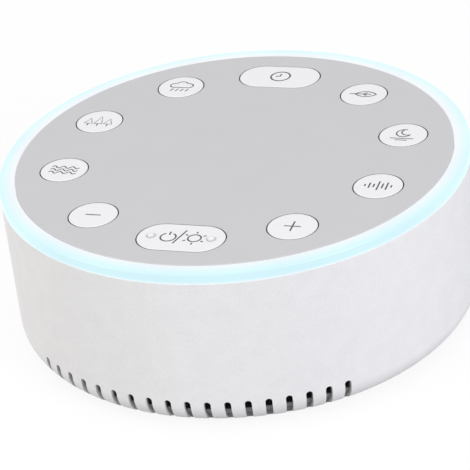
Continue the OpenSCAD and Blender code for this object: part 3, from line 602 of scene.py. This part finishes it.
fixings = {
    "pilot": 1.35 * mm, "clear": 1.55 * mm, "sink": 2.7 * mm, "tower": 3 * mm, "pillar": 4.1 * mm,
    "seat": 4 * mm, "rib": 1.6 * mm, "ribDrop": 2 * mm, "panelCircle": 48.55 * mm,
    "panelAngles": (36, 144, 216, 324), "baseCircle": 45.6 * mm, "speakerCircle": 26.35 * mm,
    "speakerBoss": 7.4 * mm, "boardCircle": 24 * mm,
}

shellLow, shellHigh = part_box("body_shell")
caseRadius, underZ, seamZ = shellHigh.x, shellLow.z, shellHigh.z
wallRadius = caseRadius - caseBody["wall"]
lipRadius = wallRadius - caseBody["lip"]
hoopRadius = caseRadius - caseBody["hoopInset"]
baseTopZ = underZ + caseBody["base"]
hoopTopZ = underZ + caseBody["hoopHeight"]
notchZ = hoopTopZ - vents["notch"]
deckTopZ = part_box("speaker_gasket")[0].z
deckZ = deckTopZ - caseBody["deck"]
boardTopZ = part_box("control_board")[1].z
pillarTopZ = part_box("top_panel")[0].z
jackLow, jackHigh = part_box("jack_housing")
inletZ = (jackLow.z + jackHigh.z) / 2
inletFront = wallRadius - inlet["front"]


def ventCutter(s):
    # an arched bar, laid outwards along its own radius, for each slot
    tool = bmesh.new()
    archZ = underZ + s["height"] - s["width"] / 2
    arch = (
        Matrix.Translation((s["start"], 0, archZ)) @ Matrix.Rotation(math.radians(90), 4, "Y")
        @ Matrix.Rotation(math.pi / s["archSides"], 4, "Z")
    )
    for number in range(s["count"]):
        verts = bmesh.ops.create_circle(
            tool, cap_ends=True, segments=s["archSides"], radius=s["width"] / 2, matrix=arch,
        )["verts"]
        for vert in verts:
            if vert.co.z < archZ:
                vert.co.z = underZ - cutSpare
        bar = bmesh.ops.extrude_face_region(tool, geom=[verts[0].link_faces[0]])["geom"]
        pushed = [v for v in bar if isinstance(v, bmesh.types.BMVert)]
        bmesh.ops.translate(tool, verts=pushed, vec=(caseRadius + cutSpare - s["start"], 0, 0))
        turn = atAngle(s["middle"] + (number - (s["count"] - 1) / 2) * s["pitch"])
        bmesh.ops.transform(tool, matrix=turn, verts=verts + pushed)
    bmesh.ops.remove_doubles(tool, verts=tool.verts[:], dist=sameSpot)
    bmesh.ops.recalc_face_normals(tool, faces=tool.faces[:])
    return tool


def caseShell(s, screws):
    # the turned moulding, with its slots and holes cut and its slots' rims softened
    bm = turned([
        (lipRadius, underZ, s["seamRound"]), (caseRadius, underZ, s["footRound"]),
        (caseRadius, seamZ, s["seamRound"]), (wallRadius, seamZ, s["seamRound"]),
        (wallRadius, deckTopZ, 0), (s["soundHole"], deckTopZ, 0), (s["soundHole"], deckZ, 0),
        (wallRadius, deckZ, 0), (wallRadius, hoopTopZ, 0), (hoopRadius - s["hoop"], hoopTopZ, 0),
        (hoopRadius - s["hoop"], baseTopZ, 0), (lipRadius, baseTopZ, 0),
    ], s["steps"], s["footSegments"])
    # the slots go through the wall above the hoop and have the hoop's rounded face behind them
    hoopUnderZ = underZ + s["hoopInset"]
    hoop = turned([
        (0, hoopUnderZ, 0), (hoopRadius, hoopUnderZ, s["footRound"] - s["hoopInset"]),
        (hoopRadius, notchZ, 0), (0, notchZ, 0),
    ], s["steps"], s["footSegments"])
    tool = cut(ventCutter(vents), hoop)
    join(tool, (rod(inlet["hole"], wallRadius - cutSpare, caseRadius + cutSpare), alongY(inletZ)))
    for angle in screws["panelAngles"]:
        hole = rod(screws["sink"], deckZ - cutSpare, deckTopZ + cutSpare)
        join(tool, (hole, atAngle(angle, screws["panelCircle"])))
    for angle in diagonals:
        hole = rod(screws["pilot"], deckZ - cutSpare, deckTopZ + cutSpare, fewSteps)
        join(tool, (hole, atAngle(angle, screws["speakerCircle"])))
    bm = cut(bm, tool)

    footRadius, footZ = caseRadius - s["footRound"], underZ + s["footRound"]
    near = 3 * hair

    def onSkin(point):
        # on the outer face or on the rounding of the foot
        out = span(point)
        if point.z > footZ:
            return abs(out - caseRadius) < near and point.z < seamZ - cutSpare
        reach = math.hypot(out - footRadius, point.z - footZ)
        return out > footRadius and abs(reach - s["footRound"]) < near

    soften(bm, onSkin, s["rimRound"])
    return bm


def addScrewPosts(bm, s):
    # ribbed pillars for the panel's screws, then bosses for those of the base and the speaker
    seatZ = pillarTopZ - s["seat"]
    for angle in s["panelAngles"]:
        pillar = turned([
            (s["pillar"], deckTopZ, 0), (s["pillar"], pillarTopZ, 0), (s["clear"], pillarTopZ, 0),
            (s["clear"], seatZ, 0), (s["sink"], seatZ, 0), (s["sink"], deckTopZ, 0),
        ], usualSteps)
        rib = block(
            (s["panelCircle"] + s["pillar"] - overlap, -s["rib"] / 2, deckTopZ),
            (wallRadius + overlap, s["rib"] / 2, pillarTopZ - s["ribDrop"]),
        )
        join(bm, (pillar, atAngle(angle, s["panelCircle"])), (rib, atAngle(angle)))
    bosses = [(angle, s["baseCircle"], baseTopZ) for angle in quarters]
    bosses += [(angle, s["speakerCircle"], deckTopZ - s["speakerBoss"]) for angle in diagonals]
    for angle, circle, low in bosses:
        join(bm, (tube(s["tower"], s["pilot"], low, deckZ), atAngle(angle, circle)))


def addInletCradle(bm, s):
    # a pad on the wall, a seat, two cheeks and a stop
    side, back = jackHigh.x + s["play"], jackLow.y - s["play"]
    outer, rear = side + s["cheek"], back - s["stop"]
    pad = tube(s["pad"], s["hole"], inletFront, wallRadius + overlap)
    join(
        bm, (pad, alongY(inletZ)),
        block((-outer, rear, deckTopZ), (outer, inletFront, jackLow.z)),
        block((-outer, rear, jackLow.z), (-side, inletFront, inletZ)),
        block((side, rear, jackLow.z), (outer, inletFront, inletZ)),
        block((-side, rear, jackLow.z), (side, back, jackLow.z + s["stopHeight"])),
    )


def shadeSlots(s):
    # painted shade inside the vent slots, in the shadow colour given in vents
    start, reach = s["shadeDepths"]
    addShade(
        "case_plastic", "slots", s["shadow"], Radius=caseRadius, Round=caseBody["footRound"],
        Under=underZ, Inner=hoopRadius - caseBody["hoop"] - s["shadeEdge"], Start=start, Reach=reach,
        Most=s["shadeMost"], Hole=notchZ - s["shadeEdge"], Full=notchZ, Top=underZ + s["height"],
    )


def makeCaseBody():
    bm = caseShell(caseBody, fixings)
    addScrewPosts(bm, fixings)
    addInletCradle(bm, inlet)
    return addPiece("caseBody", bm, "housing", "case_plastic", ["body_shell"])


shadeSlots(vents)
makeCaseBody()
print("case body made")


# base cover with its ribs, rubber feet and screws

baseCover = {
    "steps": 240, "radius": 52.6 * mm, "edgeRound": 0.3 * mm, "edgeSegments": 3,
    "rimRound": 0.12 * mm, "seat": 1 * mm, "ribHeight": 1.4 * mm, "ribThick": 1.2 * mm,
    "ribStart": 10 * mm, "ribEnd": 36.6 * mm, "ribPitch": 30,
}
foot = {
    "circle": 42.6 * mm, "diameter": 12 * mm, "gap": 0.2 * mm, "edge": 0.5 * mm, "groove": 0.25 * mm,
    "grooveRadius": 3.6 * mm,
}
screwForm = {
    "head": 4.5 * mm, "headHeight": 1.3 * mm, "thread": 2.6 * mm, "tip": 1 * mm,
    "round": 0.45 * mm, "roundSegments": 5, "crossLength": 2.5 * mm, "crossWidth": 0.55 * mm,
    "crossDepth": 0.75 * mm, "crossTaper": (0.5, 0.8, 1),
}


def makeBaseCover(s):
    bm = turned([
        (0, underZ, 0), (s["radius"], underZ, s["edgeRound"]),
        (s["radius"], baseTopZ, 0), (0, baseTopZ, 0),
    ], s["steps"], s["edgeSegments"])
    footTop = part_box("rubber_feet")[1].z
    tool = bmesh.new()
    for angle in diagonals:
        recess = rod(foot["diameter"] / 2 + foot["gap"], underZ - cutSpare, footTop, manySteps)
        join(tool, (recess, atAngle(angle, foot["circle"])))
    for angle in quarters:
        sink = turned([
            (fixings["sink"], underZ - cutSpare, 0), (fixings["sink"], baseTopZ - s["seat"], 0),
            (fixings["clear"], baseTopZ - s["seat"], 0), (fixings["clear"], baseTopZ + cutSpare, 0),
            (0, baseTopZ + cutSpare, 0), (0, underZ - cutSpare, 0),
        ], usualSteps)
        join(tool, (sink, atAngle(angle, fixings["baseCircle"])))
    bm = cut(bm, tool)
    inside = s["radius"] - 2 * s["edgeRound"]
    soften(bm, lambda p: p.z < underZ + hair and span(p) < inside, s["rimRound"])
    for angle in range(0, 360, s["ribPitch"]):
        rib = block(
            (s["ribStart"], -s["ribThick"] / 2, baseTopZ - smallOverlap),
            (s["ribEnd"], s["ribThick"] / 2, baseTopZ + s["ribHeight"]),
        )
        join(bm, (rib, atAngle(angle)))
    return addPiece("baseCover", bm, "housing", "case_plastic", ["base_cover"])


def makeFeet(s):
    bm = bmesh.new()
    low, high = (corner.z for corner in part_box("rubber_feet"))
    radius, groove = s["diameter"] / 2, s["grooveRadius"]
    for angle in diagonals:
        pad = turned([
            (0, high, 0), (0, low, 0), (groove, low, 0), (groove + s["groove"], low + s["groove"], 0),
            (groove + 2 * s["groove"], low, 0), (radius, low, s["edge"]), (radius, high, 0),
        ], manySteps)
        join(bm, (pad, atAngle(angle, s["circle"])))
    return addPiece("rubberFeet", bm, "housing", "foot_rubber", ["rubber_feet"])


def makeScrew(s, headZ, tipZ):
    # a cross-head screw that points up
    head, shank, seatZ = s["head"] / 2, s["thread"] / 2, headZ + s["headHeight"]
    bm = turned([
        (0, headZ, 0), (head, headZ, s["round"]), (head, seatZ, 0), (shank, seatZ, 0),
        (shank, tipZ - s["tip"], 0), (shank / 3, tipZ, 0), (0, tipZ, 0),
    ], usualSteps, s["roundSegments"])
    for turn in (0, 90):
        half, width = s["crossLength"] / 2, s["crossWidth"] / 2
        slotTool = block((-half, -width, headZ - cutSpare), (half, width, headZ + s["crossDepth"]))
        deep = [v for v in slotTool.verts if v.co.z > headZ]
        bmesh.ops.scale(slotTool, verts=deep, vec=s["crossTaper"])
        bmesh.ops.transform(slotTool, matrix=atAngle(turn), verts=slotTool.verts[:])
        bm = cut(bm, slotTool)
    return bm


def makeBaseScrews(s):
    bm = bmesh.new()
    for angle in quarters:
        screw = makeScrew(s, *(corner.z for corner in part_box("base_screws")))
        join(bm, (screw, atAngle(angle, fixings["baseCircle"])))
    return addPiece("baseScrews", bm, "housing", "screw_steel", ["base_screws"])


makeBaseCover(baseCover)
makeFeet(foot)
makeBaseScrews(screwForm)
print("underside made")


# light ring: a milky diffuser, lit from inside

ring = {
    "steps": 288, "faceWidth": 4 * mm, "flange": 4 * mm, "flangeThick": 2.3 * mm,
    "outerRound": 0.6 * mm, "innerRound": 0.25 * mm, "seamRound": 0.15 * mm, "gap": 0.15 * mm,
}
glow = {
    "colour": (0.20, 0.22, 0.23), "speckle": 0.02, "grain": 0.3 * mm, "mottle": 8 * mm,
    "depth": 0.006 * mm, "strength": 0.3, "rough": (0.3, 0.4), "patch": 12 * mm,
    "inner": (0.675, 0.675, 0.685), "outer": (0.465, 0.695, 0.745), "seam": (0.61, 0.765, 0.80),
    "edge": 0.4 * mm, "seamBand": 0.7 * mm, "ledCount": 12, "ledDip": 0.03,
}
ringLow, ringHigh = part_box("light_ring")
panelUnderZ = ringLow.z + ring["flangeThick"]
faceRadius = caseRadius - ring["faceWidth"]


def glowingDiffuser(name, s):
    # palest beside the panel, tinted round the outside and along the seam, and a little
    # dimmer between the LEDs
    material, tree, shader = newMaterial(name)
    tree.links.new(addFinish(tree, shader, s), shader.inputs["Base Color"])
    across, place = fromAxis(tree)[:2]
    outward = addRange(tree, across, faceRadius, caseRadius - s["edge"])
    colour = mixColours(tree, outward, s["inner"], s["outer"])
    low = addRange(tree, place["Z"], seamZ, seamZ + s["seamBand"], 1.0, 0.0)
    colour = mixColours(tree, low, colour, s["seam"])
    angle = addMath(tree, "ARCTAN2", place["Y"], place["X"])
    spots = addMath(tree, "COSINE", addMath(tree, "MULTIPLY", angle, s["ledCount"]))
    dip = addRange(tree, spots, -1.0, 1.0, 0.0, s["ledDip"])
    colour = mixColours(tree, dip, colour, (0.0, 0.0, 0.0))
    tree.links.new(colour, shader.inputs["Emission Color"])
    shader.inputs["Emission Strength"].default_value = 1.0
    return material


def makeRing(s):
    bm = turned([
        (wallRadius - s["gap"], seamZ, 0), (caseRadius, seamZ, s["seamRound"]),
        (caseRadius, ringHigh.z, s["outerRound"]), (faceRadius, ringHigh.z, s["innerRound"]),
        (faceRadius, panelUnderZ, 0), (faceRadius - s["flange"], panelUnderZ, 0),
        (faceRadius - s["flange"], ringLow.z, 0), (wallRadius - s["gap"], ringLow.z, 0),
    ], s["steps"])
    return addPiece("lightRing", bm, "housing", "ring_diffuser", ["light_ring"])


materials["ring_diffuser"] = glowingDiffuser("ring_diffuser", glow)
makeRing(ring)
print("light ring made")


# top panel, with the keys' openings and its towers underneath

panel = {
    "radius": 55.85 * mm, "thick": 2.2 * mm, "sides": 288, "rimRound": 0.2 * mm,
    "holeSides": 96, "holeRound": 0.12 * mm, "roundSegments": 3, "pin": 0.8 * mm,
    # gapShadow, gapDepths and gapOuter set the painted shade in the gaps round the keys
    "pinReach": 2.3 * mm, "pinLength": 2.1 * mm, "gapShadow": (0.38, 0.38, 0.39),
    "gapDepths": (0.03 * mm, 0.1 * mm), "gapOuter": 54 * mm,
}
keyForm = {
    # gapShadow, gapDepths and gapOuter set the painted shade on the keys' walls in the gaps
    "width": 12.2 * mm, "longLength": 22 * mm, "gap": 0.25 * mm, "gapShadow": (0.3, 0.3, 0.31),
    "gapDepths": (0.09 * mm, 0.2 * mm), "gapOuter": 60 * mm,
}
nibs = {
    # shadow is the colour of the painted shade round the nibs
    "shadow": (0.46, 0.46, 0.47), "reach": 7.6 * mm, "inner": 0.6 * mm, "radius": 1.1 * mm,
    "outer": 1.35 * mm,
}
keyAngles = {
    "timer": 90, "rain": 126, "forest": 162, "ocean": 198, "minus": 234, "power": 270,
    "plus": 306, "white_noise": 342, "calm": 18, "relax": 54,
}
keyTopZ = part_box("key_timer")[1].z


def keyLength(name):
    return keyForm["longLength"] if name in ("timer", "power") else keyForm["width"]


def keyPlace(name):
    low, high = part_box("key_" + name)
    return (low + high) / 2


def shadeNibs(s):
    # painted shade in the creases round the feet of the power key's nibs
    addShade(
        "key_plastic", "nibs", s["shadow"], Reach=s["reach"], Middle=keyPlace("power").y,
        Inner=s["inner"], Radius=s["radius"], Outer=s["outer"],
    )


def shadeGaps(name, topZ, s):
    # painted shade on the walls of the gaps round the keys
    start, full = s["gapDepths"]
    addShade(name, "gaps", s["gapShadow"], Top=topZ, Start=start, Full=full, Outer=s["gapOuter"])


def addStadium(bm, place, length, width, sides):
    # a circle pulled apart along X
    verts = bmesh.ops.create_circle(
        bm, segments=sides, radius=width / 2, matrix=Matrix.Rotation(math.pi / sides, 4, "Z"),
    )["verts"]
    for vert in verts:
        vert.co.x += math.copysign((length - width) / 2, vert.co.x)
    bmesh.ops.translate(bm, verts=verts, vec=place)


def makePanel(s, screws):
    bm = bmesh.new()
    addStadium(bm, (0, 0, panelUnderZ), 2 * s["radius"], 2 * s["radius"], s["sides"])
    spare = 2 * keyForm["gap"]
    for name in keyAngles:
        middle = keyPlace(name)
        place = (middle.x, middle.y, panelUnderZ)
        addStadium(bm, place, keyLength(name) + spare, keyForm["width"] + spare, s["holeSides"])
    bmesh.ops.triangle_fill(bm, edges=bm.edges[:], use_beauty=True, normal=(0, 0, 1))
    made = bmesh.ops.extrude_face_region(bm, geom=bm.faces[:])["geom"]
    raised = [v for v in made if isinstance(v, bmesh.types.BMVert)]
    bmesh.ops.translate(bm, verts=raised, vec=(0, 0, s["thick"]))
    bmesh.ops.recalc_face_normals(bm, faces=bm.faces[:])
    top = panelUnderZ + s["thick"] - hair
    rim = s["radius"] - s["rimRound"] / 2
    soften(bm, lambda p: p.z > top and span(p) < rim, s["holeRound"], s["roundSegments"])
    soften(bm, lambda p: p.z > top and span(p) > rim, s["rimRound"], s["roundSegments"])

    for angle in screws["panelAngles"]:
        tower = tube(screws["tower"], screws["pilot"], pillarTopZ, panelUnderZ)
        join(bm, (tower, atAngle(angle, screws["panelCircle"])))
    for angle in diagonals:
        tower = tube(screws["tower"], screws["pilot"], boardTopZ, panelUnderZ)
        join(bm, (tower, atAngle(angle, screws["boardCircle"])))
    for name, angle in keyAngles.items():
        reach = keyLength(name) / 2 + s["pinReach"]
        middle = keyPlace(name)
        for side in (-reach, reach):
            pin = rod(s["pin"], panelUnderZ - s["pinLength"], panelUnderZ + smallOverlap, fewSteps)
            place = Matrix.Translation((middle.x, middle.y, 0)) @ atAngle(angle + 90, side)
            join(bm, (pin, place))
    return addPiece("topPanel", bm, "housing", "panel_plastic", ["top_panel"])


shadeNibs(nibs)
shadeGaps("key_plastic", keyTopZ, keyForm)
shadeGaps("panel_plastic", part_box("top_panel")[1].z, panel)
makePanel(panel, fixings)
print("top panel made")


# power inlet

jack = {"collar": 4 * mm, "plug": 2.9 * mm, "plugDepth": 9 * mm, "edge": 0.25 * mm}
jackPin = {"radius": 1 * mm, "length": 7.9 * mm, "tip": 0.6 * mm}


def makeJack(s):
    bm = block(jackLow, (jackHigh.x, inletFront, jackHigh.z))
    bmesh.ops.bevel(
        bm, geom=bm.edges[:], offset=s["edge"], offset_type="OFFSET", segments=2, profile=0.5,
        affect="EDGES", clamp_overlap=True, material=-1,
    )
    plug = rod(s["plug"], jackHigh.y - s["plugDepth"], inletFront + cutSpare)
    bm = cut(bm, join(bmesh.new(), (plug, alongY(inletZ))))
    collar = turned([
        (s["collar"], inletFront, 0), (s["collar"], jackHigh.y, s["edge"]),
        (s["plug"], jackHigh.y, s["edge"]), (s["plug"], inletFront, 0),
    ], manySteps)
    join(bm, (collar, alongY(inletZ)))
    return addPiece("jackHousing", bm, "housing", "jack_plastic", ["jack_housing"])


def makeJackPin(s):
    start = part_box("jack_pin")[0].y
    end = start + s["length"]
    pin = turned([
        (0, start, 0), (s["radius"], start, 0), (s["radius"], end, s["tip"]), (0, end, 0),
    ], usualSteps)
    bm = join(bmesh.new(), (pin, alongY(inletZ)))
    return addPiece("jackPin", bm, "housing", "contact_metal", ["jack_pin"])


makeJack(jack)
makeJackPin(jackPin)
print("power inlet made")


# symbols printed on the keys: line widths, and strokes in millimetres from each key's middle

ink = {"thick": 0.02 * mm, "roundness": 2, "sharp": 60, "meet": 1e-6}


def arc(x, y, radius, start, end, steps=24):
    angles = [math.radians(start + (end - start) * i / steps) for i in range(steps + 1)]
    return [(x + radius * math.cos(a), y + radius * math.sin(a)) for a in angles]


def wave(width, y, height, crests, steps=40):
    return [
        (width * (i / steps - 0.5), y + height * math.sin(fullTurn * crests * i / steps))
        for i in range(steps + 1)
    ]


def powerStrokes():
    # on and off, a slash, and a lamp with six rays
    rays = [
        [arc(3.4, 0, radius, angle, angle, 1)[0] for radius in (2.2, 3.0)]
        for angle in range(30, 390, 60)
    ]
    return [
        arc(-3.2, -0.15, 1.9, 120, 420), [(-3.2, 0.9), (-3.2, 2.4)], [(-1.25, -2.9), (0.5, 3.4)],
        arc(3.4, 0, 1.62, 0, 360), *rays,
    ]


def timerStrokes():
    return [arc(0.2, 0.15, 2.6, 0, 360, 40), [(0.1, 1.5), (0.05, 0.15), (-1.2, 0.15)]]


def rainStrokes():
    # a cloud over falling drops
    cloud = (
        arc(-2.0, 0.7, 1.1, 270, 110, 12) + arc(-0.1, 1.5, 1.5, 160, 30, 12)
        + arc(2.0, 0.8, 1.2, 80, -90, 12)
    )
    drops = [[(x + 0.4, -1.2), (x - 0.2, -2.5)] for x in (-2.1, -0.7, 0.7, 2.1)]
    return [cloud + [cloud[0]], *drops]


def forestStrokes():
    # three fir trees
    strokes = []
    for x, top in ((-2.7, 1.5), (0, 2.7), (2.7, 1.5)):
        foot, half = -1.3, 1.1
        strokes += [[(x - half, foot), (x, top), (x + half, foot), (x - half, foot)]]
        strokes += [[(x, foot), (x, foot - 1.2)]]
    return strokes


def relaxStrokes():
    # a leaf with its stalk and two veins
    leaf = arc(0.5, -2.2, 3.6, 142.3, 37.7) + arc(0.5, 2.2, 3.6, -37.7, -142.3)[1:-1]
    veins = [[(-0.2, 0), (0.9, side * 0.8)] for side in (-1, 1)]
    return [leaf + [leaf[0]], [(-3.8, 0), (2.0, 0)], *veins]


def calmStrokes():
    # a crescent moon over still water
    moon = arc(0, 0.9, 1.9, 80, 320, 30) + arc(0.9, 1.5, 1.55, 310, 106, 24)
    return [moon + [moon[0]], [(-3.0, -1.9), (3.0, -1.9)], [(-1.6, -2.8), (1.6, -2.8)]]


def noiseStrokes():
    # a row of level bars
    halves = (0.5, 1.3, 0.8, 2.2, 1.2, 1.8, 0.6)
    return [[(1.1 * (i - 3), -half), (1.1 * (i - 3), half)] for i, half in enumerate(halves)]


symbols = {
    "power": (0.43, powerStrokes()), "timer": (0.48, timerStrokes()),
    "minus": (0.43, [[(-2, 0), (2, 0)]]),
    "plus": (0.43, [[(-2.1, 0), (2.1, 0)], [(0, -2.3), (0, 2.3)]]),
    "rain": (0.38, rainStrokes()), "forest": (0.38, forestStrokes()),
    "ocean": (0.38, [wave(7.4, y, 0.5, 3) for y in (1.2, -0.2, -1.6)]),
    "relax": (0.38, relaxStrokes()), "calm": (0.38, calmStrokes()),
    "white_noise": (0.42, noiseStrokes()),
}


def drawStrokes(width, strokes, s):
    # round lines along the strokes, still in millimetres
    data = bpy.data.curves.new("strokes", "CURVE")
    data.dimensions = "3D"
    data.bevel_depth = width / 2
    data.bevel_resolution = s["roundness"]
    data.use_fill_caps = True
    for stroke in strokes:
        closed = math.dist(stroke[0], stroke[-1]) < s["meet"]
        points = stroke[:-1] if closed else stroke
        line = data.splines.new("POLY")
        line.points.add(len(points) - 1)
        for point, (x, y) in zip(line.points, points):
            point.co = (x, y, 0, 1)
        line.use_cyclic_u = closed
    drawn = bpy.data.objects.new("strokes", data)
    bpy.context.scene.collection.objects.link(drawn)
    graph = bpy.context.evaluated_depsgraph_get()
    mesh = bpy.data.meshes.new_from_object(drawn.evaluated_get(graph))
    bm = bmesh.new()
    bm.from_mesh(mesh)
    bpy.data.objects.remove(drawn)
    bpy.data.curves.remove(data)
    bpy.data.meshes.remove(mesh)
    return bm


def printSymbol(name, width, strokes, s):
    # the lines are pressed nearly flat on the key's top
    bm = drawStrokes(width, strokes, s)
    middle = keyPlace(name)
    flat = Matrix.Diagonal((mm, mm, s["thick"] / width * 2, 1))
    place = Matrix.Translation((middle.x, middle.y, keyTopZ)) @ flat
    bmesh.ops.transform(bm, matrix=place, verts=bm.verts[:])
    bmesh.ops.remove_doubles(bm, verts=bm.verts[:], dist=sameSpot)
    bmesh.ops.recalc_face_normals(bm, faces=bm.faces[:])
    return addPiece("symbol_" + name, bm, name + "_button", "print_ink", sharp=s["sharp"])


for name, (width, strokes) in symbols.items():
    printSymbol(name, width, strokes, ink)
print("symbols printed")


# finishes of the CAD pieces that stay

slotOf = {part["node"]: part["material_slot"] for part in frame["record"]["subparts"]}
for name, node in frame["nodes"].items():
    finish = materials[slotOf[name]]
    for slot in node.material_slots:
        slot.material = finish
    if not node.material_slots:
        node.data.materials.append(finish)
print("nodes finished")


# floor and lights

studio = {
    "floorSize": 4.0, "floorColour": (0.42, 0.42, 0.42), "floorSeen": (1.0, 1.0, 1.0),
    "floorLift": 0.88, "floorRough": 0.9, "floorShine": 0.1, "world": 0.6,
}
lamps = {
    "overhead": {"place": (-0.1, -0.15, 0.9), "size": 0.8, "power": 1.55, "colour": (1, 1, 1)},
    "right": {"place": (0.9, -0.5, 0.45), "size": 0.6, "power": 5.4, "colour": (0.91, 0.92, 1.0)},
    "left": {"place": (-0.8, -0.6, 0.4), "size": 0.6, "power": 3.2, "colour": (1.0, 0.965, 0.93)},
}


def addSeenRays(tree):
    # 1 for rays from the camera and for mirror and glass rays
    rays = addNode(tree, "ShaderNodeLightPath").outputs
    seen = rays["Is Camera Ray"]
    for label in ("Is Glossy Ray", "Is Transmission Ray"):
        seen = addMath(tree, "MAXIMUM", seen, rays[label])
    return seen


def mixShaders(tree, factor, first, second, target):
    mix = addNode(tree, "ShaderNodeMixShader")
    for socket, source in zip(mix.inputs, (factor, first, second)):
        tree.links.new(source, socket)
    tree.links.new(mix.outputs[0], target)


def makeFloor(s):
    bm = bmesh.new()
    bmesh.ops.create_grid(bm, x_segments=1, y_segments=1, size=s["floorSize"] / 2)
    mesh = bpy.data.meshes.new("floor")
    bm.to_mesh(mesh)
    bm.free()
    floor = bpy.data.objects.new("floor", mesh)
    bpy.context.scene.collection.objects.link(floor)
    # seen directly the floor is white with a faint shadow, and it throws back less light
    material, tree, shader = newMaterial("floorPaper")
    seen = addSeenRays(tree)
    colour = mixColours(tree, seen, s["floorColour"], s["floorSeen"])
    tree.links.new(colour, shader.inputs["Base Color"])
    shader.inputs["Roughness"].default_value = s["floorRough"]
    shader.inputs["Specular IOR Level"].default_value = s["floorShine"]
    white = addNode(tree, "ShaderNodeEmission").outputs[0]
    lift = addMath(tree, "MULTIPLY", seen, s["floorLift"])
    mixShaders(tree, lift, shader.outputs[0], white, tree.nodes["Material Output"].inputs["Surface"])
    mesh.materials.append(material)


def makeWorld(s):
    world = bpy.data.worlds.new("studio")
    world.use_nodes = True
    tree = world.node_tree
    light = tree.nodes["Background"]
    light.inputs["Color"].default_value = (1, 1, 1, 1)
    light.inputs["Strength"].default_value = s["world"]
    white = addNode(tree, "ShaderNodeBackground")
    white.inputs["Color"].default_value = (1, 1, 1, 1)
    target = tree.nodes["World Output"].inputs["Surface"]
    mixShaders(tree, addSeenRays(tree), light.outputs[0], white.outputs[0], target)
    bpy.context.scene.world = world


def makeLamp(name, s):
    data = bpy.data.lights.new(name, "AREA")
    data.shape = "DISK"
    data.size = s["size"]
    data.energy = s["power"]
    data.color = s["colour"]
    lamp = bpy.data.objects.new(name, data)
    place = Vector(s["place"])
    lamp.matrix_world = Matrix.Translation(place) @ place.to_track_quat("Z", "Y").to_matrix().to_4x4()
    bpy.context.scene.collection.objects.link(lamp)


makeFloor(studio)
makeWorld(studio)
for name, settings in lamps.items():
    makeLamp(name, settings)
bpy.context.scene.view_settings.view_transform = "Standard"
print("studio lit")
